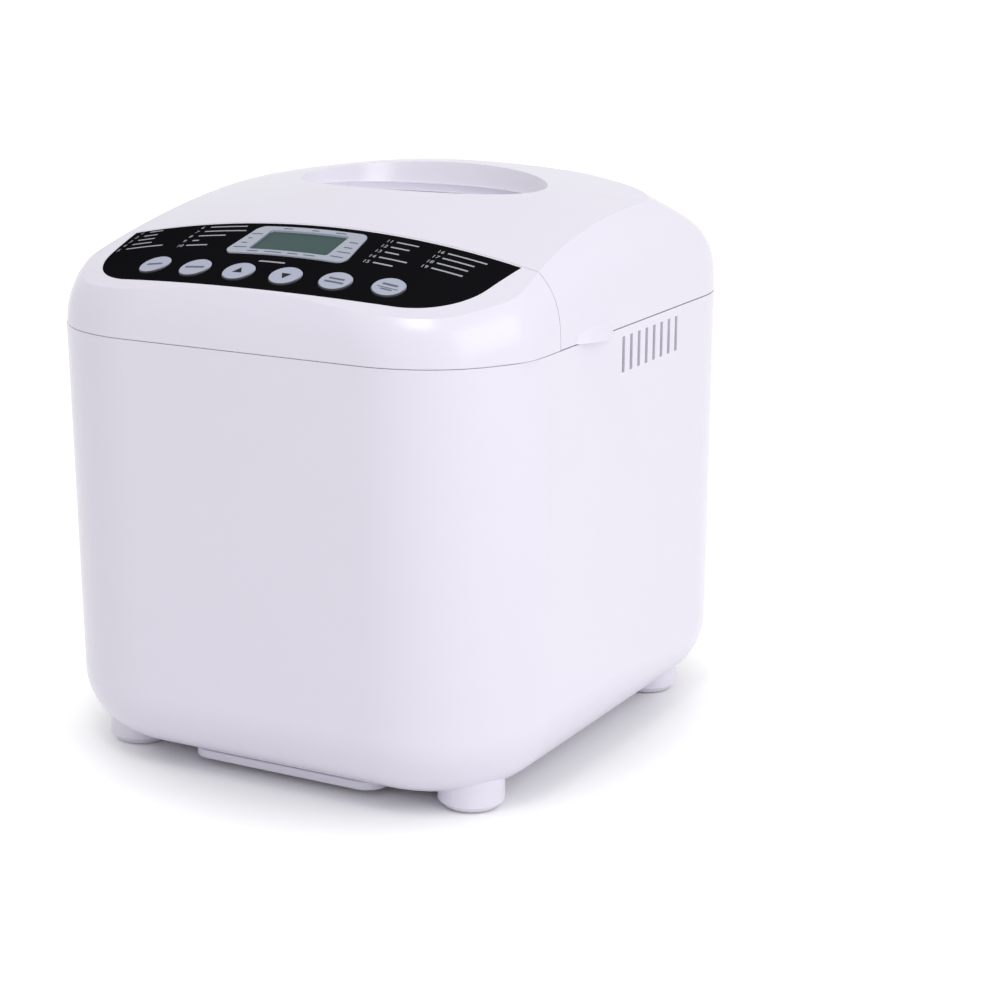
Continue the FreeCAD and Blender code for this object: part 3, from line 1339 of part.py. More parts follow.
def base_plate():
    """Underside cover with air slots, cut out round the feet, and the posts of the chassis."""
    plan = (PLATE_HALF_W, PLATE_FRONT_Y, PLATE_BACK_Y, PLATE_CORNER_R)
    plate = round_block(*plan, PLATE_BOTTOM_Z, BODY_BOTTOM_Z)
    posts = [rod(POST_R, (x, y, PLATE_BOTTOM_Z), (x, y, CHASSIS_Z)) for x, y in post_places()]
    cuts = []
    for x, y in foot_places():
        cuts.append(rod(FOOT_R + FOOT_CLEAR, (x, y, 0), (x, y, BODY_BOTTOM_Z)))
    for i in range(PLATE_VENT_COUNT):
        x = (i - (PLATE_VENT_COUNT - 1) / 2) * PLATE_VENT_PITCH
        half = PLATE_VENT_WIDTH / 2
        low = (x - half, PLATE_VENT_Y - PLATE_VENT_LENGTH / 2, 0)
        cuts.append(box(low, (x + half, low[1] + PLATE_VENT_LENGTH, BODY_BOTTOM_Z)))
    return union([plate] + posts).cut(cuts)


def feet():
    """Four round feet that meet the housing's rounded underside."""
    outer = body_solid()
    pieces = []
    for x, y in foot_places():
        foot = rod(FOOT_R, (x, y, FOOT_LIFT + FOOT_EDGE), (x, y, BODY_BOTTOM_Z + FOOT_R))
        edge = Part.makeCone(FOOT_R - FOOT_EDGE, FOOT_R, FOOT_EDGE, Vec(x, y, FOOT_LIFT))
        seat = rod(PAD_R, (x, y, 0), (x, y, PAD_THICK))
        pieces.append(union([foot, edge]).cut([outer, seat]))
    return group(pieces)


def foot_pads():
    """Round pads let into the feet."""
    return group(rod(PAD_R, (x, y, 0), (x, y, PAD_THICK)) for x, y in foot_places())


NODES = (
    outer_housing, control_fascia, control_panel, display_bezel, display_lens, lcd_module, control_board,
    tact_switches, lid_shell, lid_liner, lid_seal, window_glass, window_gasket, hinge_pins,
    top_deck, oven_chamber, temperature_sensor, heating_element, element_bushings, element_clips,
    pan_socket, bread_pan, pan_base_ring, pan_bush, pan_handle, pan_shaft, shaft_wing, kneading_paddle,
    drive_shaft, drive_coupling, bearing_block, drive_bush, large_pulley, motor_shaft, small_pulley, motor,
    drive_belt, motor_capacitor, power_board, chassis, base_plate, feet,
    foot_pads, cord_gland,
)


def main():
    """Build every node and write it to its own file."""
    os.makedirs("parts", exist_ok=True)
    for build in NODES:
        build().exportStep("parts/" + build.__name__ + ".step")
    for index, name in enumerate(BUTTON_NAMES):
        push_button(index).exportStep("parts/" + name + ".step")


if __name__ == "__main__":
    main()
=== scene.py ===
"""Looks of the bread machine: finishes, the print on its controls, a lip under its front and a studio."""

import json
import math

import bpy
from bpy.props import FloatProperty, FloatVectorProperty, PointerProperty
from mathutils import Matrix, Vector


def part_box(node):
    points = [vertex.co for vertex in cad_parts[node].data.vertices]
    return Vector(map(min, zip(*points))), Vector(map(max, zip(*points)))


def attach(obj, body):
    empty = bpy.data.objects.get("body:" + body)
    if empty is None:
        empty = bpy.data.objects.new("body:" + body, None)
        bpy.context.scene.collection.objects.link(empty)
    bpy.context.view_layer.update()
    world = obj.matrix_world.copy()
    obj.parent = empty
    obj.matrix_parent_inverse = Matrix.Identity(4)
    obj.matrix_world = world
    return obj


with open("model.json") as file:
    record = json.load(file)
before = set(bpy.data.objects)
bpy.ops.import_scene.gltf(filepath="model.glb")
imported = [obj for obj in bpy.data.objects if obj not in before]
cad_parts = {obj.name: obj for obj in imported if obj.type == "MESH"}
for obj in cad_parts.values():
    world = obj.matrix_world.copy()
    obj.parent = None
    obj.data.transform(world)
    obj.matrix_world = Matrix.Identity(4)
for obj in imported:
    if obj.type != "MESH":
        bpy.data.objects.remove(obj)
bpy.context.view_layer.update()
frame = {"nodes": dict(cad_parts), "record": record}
NODES = frame["nodes"]

bl_info = {
    "name": "Bread machine looks",
    "version": (1, 0, 0),
    "blender": (4, 5, 0),
    "location": "View3D > Sidebar > Bread machine",
    "description": "Finishes, control print and studio for the packed bread machine",
    "category": "Object",
}

MM = 0.001

# Colour sockets of a Mix node: its two inputs and its output
MIX_FIRST = 6
MIX_SECOND = 7
MIX_RESULT = 2

# Height over a node at which its print starts, before it is dropped onto the node
PRINT_START = 1.0 * MM
# Cuts in a printed line: a long one follows the crown of the overlay, a short one lies on a small face
LONG_LINE_CUTS = 3
SHORT_LINE_CUTS = 1
# Half the height of a number as a share of its size, and the steps of its curves
FIGURE_MIDDLE = 0.35
FIGURE_STEPS = 3
# Depth below a key's highest point, along its axis, that still counts as its round face
KEY_FACE_DEPTH = 0.02 * MM
# Steps of the lip's two front corners and of its round edges
LIP_CORNER_STEPS = 8
LIP_EDGE_STEPS = 3

# Program list on the overlay, in millimetres: first number, left end, first row, row pitch, line lengths
PROGRAM_COLUMNS = (
    (1, -105.0, -82.7, 5.2, (8.0, 8.0, 10.0, 11.6, 22.0)),
    (6, -67.0, -84.0, 5.5, (21.7, 24.5, 15.9, 3.7, 12.3)),
    (11, 41.0, -86.2, 5.65, (12.0, 10.0, 7.5, 15.0, 10.5)),
    (16, 68.8, -86.2, 5.4, (21.0, 17.0, 16.5, 16.5)),
)
# Plain line between display and keys, in millimetres: middle x, middle y, length
CAPTION_LINE = (-1.7, -121.4, 14.4)
# Ticks on the display surround, in millimetres: middle x, middle y, length
BEZEL_TICKS = (
    (-13.8, -87.2, 5.2), (1.8, -87.2, 3.9), (16.3, -87.2, 5.8),
    (-18.3, -112.8, 6.0), (-6.8, -112.8, 9.5), (4.4, -112.8, 5.7), (13.6, -112.8, 6.3),
    (-27.6, -93.9, 6.2), (-28.5, -98.9, 2.3), (-28.6, -104.1, 3.2), (-27.9, -109.0, 7.5),
    (27.7, -94.7, 4.5), (27.8, -100.3, 4.5), (28.4, -105.3, 7.0), (27.6, -110.4, 7.0),
)
# Lines on the four plain keys, in millimetres: key, body, offset towards the back, length, height
KEY_LINES = (
    ("menu_button", "menu_key", 0.0, 8.6, 1.5),
    ("weight_button", "weight_key", 0.0, 10.6, 1.5),
    ("colour_button", "colour_key", 1.5, 8.2, 1.3),
    ("colour_button", "colour_key", -1.5, 10.0, 1.3),
    ("start_button", "start_key", 1.6, 8.0, 1.5),
    ("start_button", "start_key", -1.2, 11.0, 0.5),
    ("start_button", "start_key", -2.6, 6.0, 0.9),
)
# Arrows on two keys: key, body, turn of the triangle in degrees
KEY_ARROWS = (("up_button", "up_key", 0.0), ("down_button", "down_key", 180.0))
# Metals: colour, roughness, how much finer the grain is along x, y and z, its size in millimetres
METALS = {
    "pressed_aluminium": ("C9C9CB", 0.34, (1, 12, 1), 1.2),
    "ground_steel_pin": ("BDBEC2", 0.25, (1, 1, 1), 0.6),
    "aluminised_sheet": ("BFC0C2", 0.38, (1, 1, 6), 1.5),
    "stamped_steel_clip": ("A9AAAC", 0.4, (1, 6, 1), 0.8),
    "drawn_steel_probe": ("B9B9BC", 0.3, (8, 1, 1), 0.6),
    "die_cast_alloy": ("B4B5B9", 0.45, (1, 1, 1), 0.9),
    "plated_wire": ("D6D6D9", 0.18, (1, 1, 1), 1.0),
    "ground_steel_shaft": ("C2C3C6", 0.25, (1, 1, 5), 0.5),
    "turned_brass": ("C8A45A", 0.3, (1, 1, 6), 0.5),
    "turned_steel": ("BEBFC2", 0.28, (1, 1, 5), 0.5),
    "cast_alloy_block": ("AEB0B4", 0.45, (1, 1, 1), 0.9),
    "sintered_bronze": ("B08D57", 0.45, (1, 1, 1), 0.4),
    "lacquered_motor_can": ("8C8F94", 0.4, (1, 1, 8), 0.8),
    "zinc_coated_sheet": ("B7B9BC", 0.36, (1, 5, 1), 2.0),
}
# Width of the studio's floor in metres
FLOOR_WIDTH = 60.0
# Soft lights of the studio, in metres: name of the light and of its power setting, place, aim, width
STUDIO_LIGHTS = (
    ("right_light", (1.5, -0.4, 0.9), (0, 0, 0.15), 1.2),
    ("front_light", (0.28, -0.86, 1.45), (0.05, -0.13, 0.25), 0.4),
    ("top_light", (0.7, 0.1, 1.7), (0, 0, 0.2), 1.6),
)


def linear(colour):
    """Linear values of an sRGB hex colour."""
    shares = [int(colour[i:i + 2], 16) / 255 for i in (0, 2, 4)]
    return tuple(s / 12.92 if s <= 0.04045 else ((s + 0.055) / 1.055) ** 2.4 for s in shares)


def shade(colour, share):
    """Colour made darker or lighter by one share."""
    return [part * share for part in colour]


def per_metre(size_mm):
    """Texture scale at which one lump of a pattern is about this many millimetres wide."""
    return 1 / (size_mm * MM)


def add_node(tree, kind, sockets=None, links=None, **settings):
    """Add a node with its settings, its socket values and the outputs that feed it."""
    node = tree.nodes.new(kind)
    for key, value in settings.items():
        setattr(node, key, value)
    for key, value in (sockets or {}).items():
        node.inputs[key].default_value = value
    for key, output in (links or {}).items():
        tree.links.new(output, node.inputs[key])
    return node


def finish(name, colour, roughness, **sockets):
    """Start a material: its tree and its shader, with its colour, its roughness and other set values."""
    material = bpy.data.materials.new(name)
    material.use_nodes = True
    tree = material.node_tree
    shader = tree.nodes["Principled BSDF"]
    shader.inputs["Base Color"].default_value = (*colour, 1)
    shader.inputs["Roughness"].default_value = roughness
    for key, value in sockets.items():
        shader.inputs[key.replace("_", " ").title().replace("Ior", "IOR")].default_value = value
    return material, tree, shader


def surface(tree, shader, colour, tint, patch_mm, grain_mm, relief_mm, gloss, stretch=(1, 1, 1)):
    """Give a shader soft patches of a second tone, fine relief and uneven gloss, and return its tone.

    The finest grains, as of film, lacquer, rubber and metal, are drawn coarser than real, to show.
    """
    place = add_node(tree, "ShaderNodeTexCoord")
    spot = {"Vector": place.outputs["Object"]}
    stretched = add_node(tree, "ShaderNodeMapping", {"Scale": stretch}, spot)
    spot = {"Vector": stretched.outputs["Vector"]}
    patches = add_node(tree, "ShaderNodeTexNoise", {"Scale": per_metre(patch_mm), "Detail": 3.0}, spot)
    tones = {MIX_FIRST: (*colour, 1), MIX_SECOND: (*tint, 1)}
    mixed = add_node(tree, "ShaderNodeMix", tones, {"Factor": patches.outputs["Fac"]}, data_type="RGBA")
    tree.links.new(mixed.outputs[MIX_RESULT], shader.inputs["Base Color"])
    grain = add_node(tree, "ShaderNodeTexNoise", {"Scale": per_metre(grain_mm), "Detail": 2.0}, spot)
    span = {"To Min": gloss[0], "To Max": gloss[1]}
    rough = add_node(tree, "ShaderNodeMapRange", span, {"Value": grain.outputs["Fac"]})
    tree.links.new(rough.outputs["Result"], shader.inputs["Roughness"])
    height = {"Strength": 1.0, "Distance": relief_mm * MM}
    bump = add_node(tree, "ShaderNodeBump", height, {"Height": grain.outputs["Fac"]})
    tree.links.new(bump.outputs["Normal"], shader.inputs["Normal"])
    return mixed.outputs[MIX_RESULT]


def moulded_white(colour):
    """Glossy white ABS: a bright skin with a faint lavender cast and the slight waviness of the mould."""
    material, tree, shader = finish("moulded_abs_white", colour, 0.24)
    surface(tree, shader, colour, shade(colour, 0.985),
            patch_mm=60.0, grain_mm=5.0, relief_mm=0.006, gloss=(0.2, 0.26))
    return material


def painted_key(colour, bare_and_shaded):
    """Silicone rubber key: satin silver paint on its face, and a dark low wall that is bare rubber and
    also painted shade, as the gap round the key would be in shade.
    """
    material, tree, shader = finish("painted_rubber_key", colour, 0.42, ior=1.4)
    tone = surface(tree, shader, colour, shade(colour, 0.96),
                   patch_mm=8.0, grain_mm=0.6, relief_mm=0.004, gloss=(0.38, 0.46))
    # Painted shade: faces whose normal points up get the paint, and the walls get the dark colour, which
    # stands for bare rubber and for the shade in the gap round the key.
    place = add_node(tree, "ShaderNodeTexCoord")
    facing = add_node(tree, "ShaderNodeSeparateXYZ", None, {"Vector": place.outputs["Normal"]})
    span = {"From Min": 0.55, "From Max": 0.75}
    face = add_node(tree, "ShaderNodeMapRange", span, {"Value": facing.outputs["Z"]})
    wall = {MIX_FIRST: (*bare_and_shaded, 1)}
    over = {"Factor": face.outputs["Result"], MIX_SECOND: tone}
    painted = add_node(tree, "ShaderNodeMix", wall, over, data_type="RGBA")
    tree.links.new(painted.outputs[MIX_RESULT], shader.inputs["Base Color"])
    return material


def overlay_film(colour):
    """Black screen-printed film: its fine tooth scatters all gloss, so it stays dark at a low angle."""
    material, tree, shader = finish("printed_film_black", colour, 0.6, specular_ior_level=0.0)
    surface(tree, shader, colour, shade(colour, 1.3),
            patch_mm=30.0, grain_mm=0.5, relief_mm=0.003, gloss=(0.55, 0.65))
    return material


def silver_paint(colour):
    """Silver lacquer on plastic: pale, faintly sparkling, with a lavender cast."""
    material, tree, shader = finish("silver_lacquer", colour, 0.36, metallic=0.25)
    surface(tree, shader, colour, shade(colour, 0.92),
            patch_mm=1.0, grain_mm=0.25, relief_mm=0.003, gloss=(0.3, 0.42))
    return material


def display_glass(colour):
    """Unlit display under its polariser: flat grey green, lighter in soft clouds, with a faint gloss."""
    material, tree, shader = finish("polarised_display_glass", colour, 0.3, specular_ior_level=0.02)
    surface(tree, shader, colour, shade(colour, 1.12),
            patch_mm=14.0, grain_mm=0.3, relief_mm=0.001, gloss=(0.26, 0.34))
    return material


def window_pane(colour):
    """Toughened glass: clear, with traces of wiping in its gloss."""
    material, tree, shader = finish("toughened_glass", colour, 0.02, ior=1.5, transmission_weight=1.0)
    place = add_node(tree, "ShaderNodeTexCoord")
    spot = {"Vector": place.outputs["Object"]}
    wiped = add_node(tree, "ShaderNodeTexNoise", {"Scale": per_metre(30.0)}, spot)
    span = {"To Min": 0.02, "To Max": 0.08}
    rough = add_node(tree, "ShaderNodeMapRange", span, {"Value": wiped.outputs["Fac"]})
    tree.links.new(rough.outputs["Result"], shader.inputs["Roughness"])
    return material


def plain_plastic(name, colour, roughness):
    """Textured moulding: matt, with the fine spark-eroded grain of its mould."""
    material, tree, shader = finish(name, colour, roughness, ior=1.5)
    gloss = (roughness - 0.06, roughness + 0.06)
    surface(tree, shader, colour, shade(colour, 0.92),
            patch_mm=25.0, grain_mm=0.8, relief_mm=0.02, gloss=gloss)
    return material


def soft_rubber(name, colour):
    """Rubber: dull and slightly dusty, with a fine pebbled skin."""
    material, tree, shader = finish(name, colour, 0.75, ior=1.52)
    surface(tree, shader, colour, shade(colour, 1.25),
            patch_mm=6.0, grain_mm=0.5, relief_mm=0.02, gloss=(0.68, 0.85))
    return material


def metal_finish(name):
    """Rolled, turned, plated or cast metal: grain, often in lines, and broad dull and bright areas."""
    code, roughness, stretch, grain_mm = METALS[name]
    colour = linear(code)
    material, tree, shader = finish(name, colour, roughness, metallic=1.0)
    gloss = (roughness - 0.08, roughness + 0.1)
    surface(tree, shader, colour, shade(colour, 0.88),
            patch_mm=20.0, grain_mm=grain_mm, relief_mm=0.006, gloss=gloss, stretch=stretch)
    return material


def heater_sheath(colour):
    """Heater tube: oxidised alloy, dull grey brown with darker blotches from heat."""
    material, tree, shader = finish("oxidised_alloy_tube", colour, 0.5, metallic=0.9)
    surface(tree, shader, colour, shade(colour, 0.6),
            patch_mm=9.0, grain_mm=0.5, relief_mm=0.015, gloss=(0.42, 0.6))
    return material


def nonstick_coat(colour):
    """Sprayed non-stick coat: charcoal and satin, with pale specks drawn coarser than real, to show."""
    material, tree, shader = finish("nonstick_coating", colour, 0.42, ior=1.38)
    tone = surface(tree, shader, colour, shade(colour, 1.2),
                   patch_mm=12.0, grain_mm=0.9, relief_mm=0.012, gloss=(0.38, 0.5))
    place = add_node(tree, "ShaderNodeTexCoord")
    spot = {"Vector": place.outputs["Object"]}
    specks = add_node(tree, "ShaderNodeTexVoronoi", {"Scale": per_metre(2.2)}, spot)
    span = {"From Min": 0.10, "From Max": 0.16, "To Min": 1.0, "To Max": 0.0}
    dots = add_node(tree, "ShaderNodeMapRange", span, {"Value": specks.outputs["Distance"]})
    pale = {MIX_SECOND: (*shade(colour, 6), 1)}
    under = {"Factor": dots.outputs["Result"], MIX_FIRST: tone}
    speckled = add_node(tree, "ShaderNodeMix", pale, under, data_type="RGBA")
    tree.links.new(speckled.outputs[MIX_RESULT], shader.inputs["Base Color"])
    return material


def circuit_board(colour):
    """Circuit board: green solder mask over copper, which shows through as lighter patches."""
    material, tree, shader = finish("solder_mask_green", colour, 0.35, ior=1.5)
    surface(tree, shader, colour, shade(colour, 1.6),
            patch_mm=3.0, grain_mm=1.2, relief_mm=0.02, gloss=(0.28, 0.42))
    return material


def fired_ceramic(colour):
    """Steatite ceramic: chalky off-white with a dry, fine-grained skin."""
    material, tree, shader = finish("steatite_ceramic", colour, 0.6)
    surface(tree, shader, colour, shade(colour, 0.9),
            patch_mm=5.0, grain_mm=0.4, relief_mm=0.01, gloss=(0.55, 0.7))
    return material


def print_ink(name, colour):
    """Screen-printing ink: a thin matt layer, slightly uneven in tone."""
    material, tree, shader = finish(name, colour, 0.55, specular_ior_level=0.1)
    surface(tree, shader, colour, shade(colour, 0.9),
            patch_mm=2.0, grain_mm=0.3, relief_mm=0.002, gloss=(0.5, 0.6))
    return material


def seen_rays(tree):
    """Output that is 1 for rays that see a surface straight, in a reflection or through glass."""
    path = add_node(tree, "ShaderNodeLightPath")
    seen = path.outputs["Is Camera Ray"]
    for ray in ("Is Glossy Ray", "Is Transmission Ray"):
        either = {0: seen, 1: path.outputs[ray]}
        seen = add_node(tree, "ShaderNodeMath", None, either, operation="MAXIMUM").outputs[0]
    return seen


def paint(material, *nodes):
    """Give CAD nodes a finish."""
    for node in nodes:
        NODES[node].data.materials.clear()
        NODES[node].data.materials.append(material)


def only(obj):
    """Make one object the active and only selected one."""
    bpy.ops.object.select_all(action="DESELECT")
    obj.select_set(True)
    bpy.context.view_layer.objects.active = obj


def start_flat(name, height):
    """Start a flat print piece at a height over the part: an empty mesh in edit mode."""
    bpy.ops.object.select_all(action="DESELECT")
    bpy.ops.mesh.primitive_plane_add(size=1, location=(0, 0, height))
    piece = bpy.context.object
    piece.name = name
    piece.data.name = name
    bpy.ops.object.transform_apply(location=True, rotation=True, scale=True)
    bpy.ops.object.mode_set(mode="EDIT")
    bpy.ops.mesh.select_all(action="SELECT")
    bpy.ops.mesh.delete(type="VERT")
    return piece


def add_line(middle, length, height, cuts):
    """Add one printed line to the flat piece in edit mode, cut so that it can follow a curve."""
    bpy.ops.mesh.select_all(action="DESELECT")
    bpy.ops.mesh.primitive_plane_add(size=1, location=middle)
    bpy.ops.transform.resize(value=(length, height, 1), center_override=middle)
    bpy.ops.mesh.subdivide(number_cuts=cuts)


def lay_on(piece, node, body, ink, thickness):
    """Drop a flat piece onto a CAD node, give it the thickness of its ink and let it ride on a body."""
    bpy.ops.object.mode_set(mode="OBJECT")
    only(piece)
    drop = piece.modifiers.new("drop", "SHRINKWRAP")
    drop.target = NODES[node]
    drop.wrap_method = "PROJECT"
    drop.use_project_z = True
    drop.use_negative_direction = True
    drop.use_positive_direction = False
    drop.offset = thickness
    bpy.ops.object.modifier_apply(modifier=drop.name)
    layer = piece.modifiers.new("layer", "SOLIDIFY")
    layer.thickness = thickness
    layer.offset = 1
    bpy.ops.object.modifier_apply(modifier=layer.name)
    piece.data.materials.clear()
    piece.data.materials.append(ink)
    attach(piece, body)


class ShellFinish(bpy.types.PropertyGroup):
    """Colours of the white mouldings and of the foot pads, and sizes of the underside cover's lip."""

    white: FloatVectorProperty(name="White", description="Colour of the moulded shells",
                               subtype="COLOR", default=linear("ECE8F6"))
    pad: FloatVectorProperty(name="Pads", description="Colour of the foot pads",
                             subtype="COLOR", default=linear("3A3A3C"))
    lip_width: FloatProperty(name="Lip width", description="Width of the lip on the underside cover",
                             unit="LENGTH", default=110.0 * MM)
    lip_reach: FloatProperty(name="Lip reach", description="How far the lip stands out to the front",
                             unit="LENGTH", default=13.0 * MM)
    lip_lap: FloatProperty(name="Lip lap", description="How far the lip goes into the cover",
                           unit="LENGTH", default=1.0 * MM)
    lip_corner: FloatProperty(name="Lip corner", description="Radius of the lip's two front corners",
                              unit="LENGTH", default=11.0 * MM)
    lip_edge: FloatProperty(name="Lip edge", description="Radius of the lip's round edges",
                            unit="LENGTH", default=0.8 * MM)


class ControlFinish(bpy.types.PropertyGroup):
    """Colours of panel, display and keys, and sizes of their print."""

    black: FloatVectorProperty(name="Overlay", description="Colour of the black overlay",
                               subtype="COLOR", default=linear("121214"))
    silver: FloatVectorProperty(name="Surround", description="Colour of the display surround",
                                subtype="COLOR", default=linear("AAB0C1"))
    display: FloatVectorProperty(name="Display", description="Colour of the unlit display",
                                 subtype="COLOR", default=linear("435857"))
    key: FloatVectorProperty(name="Keys", description="Colour of the keys' painted faces",
                             subtype="COLOR", default=linear("B0B5CA"))
    # The key walls' colour is bare rubber and also painted shade, darker than the faces as the gap round
    # each key would be in shade.
    rubber: FloatVectorProperty(name="Key walls", description="Colour of the keys' bare rubber",
                                subtype="COLOR", default=linear("3C3D44"))
    pale_ink: FloatVectorProperty(name="Pale ink", description="Colour of the print on the overlay",
                                  subtype="COLOR", default=linear("B4B5BE"))
    grey_ink: FloatVectorProperty(name="Grey ink", description="Colour of the lines on keys and surround",
                                  subtype="COLOR", default=linear("6E707E"))
    dark_ink: FloatVectorProperty(name="Dark ink", description="Colour of the arrows on two keys",
                                  subtype="COLOR", default=linear("15161B"))
    figure: FloatProperty(name="Figure size", description="Size of the program numbers",
                          unit="LENGTH", default=3.9 * MM)
    line: FloatProperty(name="Line height", description="Height of the plain lines beside the numbers",
                        unit="LENGTH", default=1.1 * MM)
    indent: FloatProperty(name="Line indent", description="Room for a number before its line",
                          unit="LENGTH", default=5.6 * MM)
    tick: FloatProperty(name="Tick height", description="Height of the ticks on the surround",
                        unit="LENGTH", default=0.7 * MM)
    arrow: FloatProperty(name="Arrow size", description="Radius of the arrows on two keys",
                         unit="LENGTH", default=3.0 * MM)
    ink: FloatProperty(name="Ink thickness", description="Thickness of the printed layer",
                       unit="LENGTH", default=0.05 * MM)


class StudioLook(bpy.types.PropertyGroup):
    """Camera, lights and floor of the studio."""

    azimuth: FloatProperty(name="Azimuth", description="Turn of the camera from the front to the right",
                           subtype="ANGLE", default=math.radians(29.72))
    elevation: FloatProperty(name="Elevation", description="Angle of the camera above the floor",
                             subtype="ANGLE", default=math.radians(13.85))
    distance: FloatProperty(name="Distance", description="Distance from the camera to its aim",
                            unit="LENGTH", default=1.3352)
    aim: FloatProperty(name="Aim height", description="Height of the camera's aim over the floor",
                       unit="LENGTH", default=0.1352)
    lens: FloatProperty(name="Lens", description="Focal length in millimetres", default=91.16)
    shift: FloatVectorProperty(name="Shift", description="Shift of the picture", size=2,
                               default=(0.0983, -0.0330))
    right_light: FloatProperty(name="Right light", description="Power of the soft light on the right",
                               default=8.0)
    front_light: FloatProperty(name="Front light", description="Power of the small light high in front",
                               default=3.6)
    top_light: FloatProperty(name="Top light", description="Power of the soft light overhead",
                             default=1.2)
    fill: FloatProperty(name="Surroundings", description="Strength of the light from all round",
                        default=0.6)
    # The floor glow below is painted light, and the oval it leaves dark under the part is a painted
    # shadow.
    glow: FloatProperty(name="Floor glow", description="White added to the floor away from the part",
                        default=0.5)
    spread: FloatProperty(name="Shadow spread", description="Ratio of the oval shadow to the body's size",
                          default=math.sqrt(2))
    lean: FloatProperty(name="Shadow lean", description="How far the oval shadow lies to the right",
                        unit="LENGTH", default=6.0 * MM)
    fade: FloatVectorProperty(name="Shadow fade", description="Shares of the oval between which it fades",
                              size=2, default=(0.62, 1.13))


class BREAD_OT_shells(bpy.types.Operator):
    """Give the white mouldings and the foot pads their finish"""

    bl_idname = "bread.shells"
    bl_label = "White shells"

    def execute(self, context):
        look = context.scene.bread_shells
        white = moulded_white(look.white)
        paint(white, "outer_housing", "control_fascia", "lid_shell", "base_plate", "feet")
        paint(soft_rubber("foot_rubber", look.pad), "foot_pads")
        return {"FINISHED"}


class BREAD_OT_plate_lip(bpy.types.Operator):
    """Add the lip of the underside cover that shows under the body's front"""

    bl_idname = "bread.plate_lip"
    bl_label = "Plate lip"

    def execute(self, context):
        look = context.scene.bread_shells
        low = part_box("base_plate")[0]
        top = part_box("outer_housing")[0].z
        back, front = low.y + look.lip_lap, low.y - look.lip_reach
        middle = Vector((0, (back + front) / 2, (top + low.z) / 2))
        bpy.ops.object.select_all(action="DESELECT")
        bpy.ops.mesh.primitive_cube_add(size=1, location=middle)
        piece = bpy.context.object
        piece.name = "base_plate_lip"
        piece.data.name = piece.name
        piece.scale = (look.lip_width, back - front, top - low.z)
        bpy.ops.object.transform_apply(location=True, rotation=True, scale=True)
        self.select_front_corners(piece, middle)
        bpy.ops.mesh.bevel(offset=look.lip_corner, segments=LIP_CORNER_STEPS, affect="EDGES")
        bpy.ops.mesh.select_mode(type="VERT")
        bpy.ops.object.mode_set(mode="OBJECT")
        rounded = piece.modifiers.new("rounded", "BEVEL")
        rounded.width = look.lip_edge
        rounded.segments = LIP_EDGE_STEPS
        bpy.ops.object.modifier_apply(modifier=rounded.name)
        bpy.ops.object.shade_smooth_by_angle()
        piece.data.materials.append(NODES["base_plate"].data.materials[0])
        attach(piece, "base")
        return {"FINISHED"}

    def select_front_corners(self, piece, middle):
        """Select the two upright edges at the front, in edit mode."""
        bpy.ops.object.mode_set(mode="EDIT")
        bpy.ops.mesh.select_mode(type="EDGE")
        bpy.ops.mesh.select_all(action="DESELECT")
        bpy.ops.object.mode_set(mode="OBJECT")
        for edge in piece.data.edges:
            ends = [piece.data.vertices[i].co for i in edge.vertices]
            edge.select = all(end.y < middle.y for end in ends) and ends[0].z != ends[1].z
        bpy.ops.object.mode_set(mode="EDIT")


class BREAD_OT_controls(bpy.types.Operator):
    """Give overlay, display and keys their finish"""

    bl_idname = "bread.controls"
    bl_label = "Controls"

    def execute(self, context):
        look = context.scene.bread_controls
        paint(overlay_film(look.black), "control_panel")
        paint(silver_paint(look.silver), "display_bezel")
        paint(display_glass(look.display), "lcd_module", "display_lens")
        keys = [node for node in NODES if node.endswith("_button")]
        # The keys' walls get the dark colour, which is bare rubber and also painted shade.
        paint(painted_key(look.key, look.rubber), *keys)
        return {"FINISHED"}


class BREAD_OT_program_lines(bpy.types.Operator):
    """Print the plain lines of the program list on the overlay"""

    bl_idname = "bread.program_lines"
    bl_label = "Program lines"

    def execute(self, context):
        look = context.scene.bread_controls
        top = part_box("control_panel")[1].z + PRINT_START
        piece = start_flat("program_lines", top)
        for _, left, row, pitch, lengths in PROGRAM_COLUMNS:
            for i, length in enumerate(lengths):
                middle = (left * MM + look.indent + length * MM / 2, (row - i * pitch) * MM, top)
                add_line(middle, length * MM, look.line, LONG_LINE_CUTS)
        x, y, length = [value * MM for value in CAPTION_LINE]
        add_line((x, y, top), length, look.line, LONG_LINE_CUTS)
        ink = print_ink("pale_printing_ink", look.pale_ink)
        lay_on(piece, "control_panel", "base", ink, look.ink)
        return {"FINISHED"}


class BREAD_OT_program_numbers(bpy.types.Operator):
    """Print the numbers of the program list on the overlay"""

    bl_idname = "bread.program_numbers"
    bl_label = "Program numbers"

    def execute(self, context):
        look = context.scene.bread_controls
        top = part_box("control_panel")[1].z + PRINT_START
        ink = print_ink("pale_number_ink", look.pale_ink)
        for first, left, row, pitch, lengths in PROGRAM_COLUMNS:
            bpy.ops.object.select_all(action="DESELECT")
            bpy.ops.object.text_add(location=(left * MM, row * MM, top))
            text = bpy.context.object
            text.data.body = "\n".join(str(first + i) for i in range(len(lengths)))
            text.data.size = look.figure
            text.data.space_line = pitch * MM / look.figure
            text.data.align_y = "TOP_BASELINE"
            text.data.offset_y = -look.figure * FIGURE_MIDDLE
            text.data.resolution_u = FIGURE_STEPS
            bpy.ops.object.convert(target="MESH")
            piece = bpy.context.object
            piece.name = "program_numbers_%02d" % first
            piece.data.name = piece.name
            bpy.ops.object.transform_apply(location=True, rotation=True, scale=True)
            lay_on(piece, "control_panel", "base", ink, look.ink)
        return {"FINISHED"}


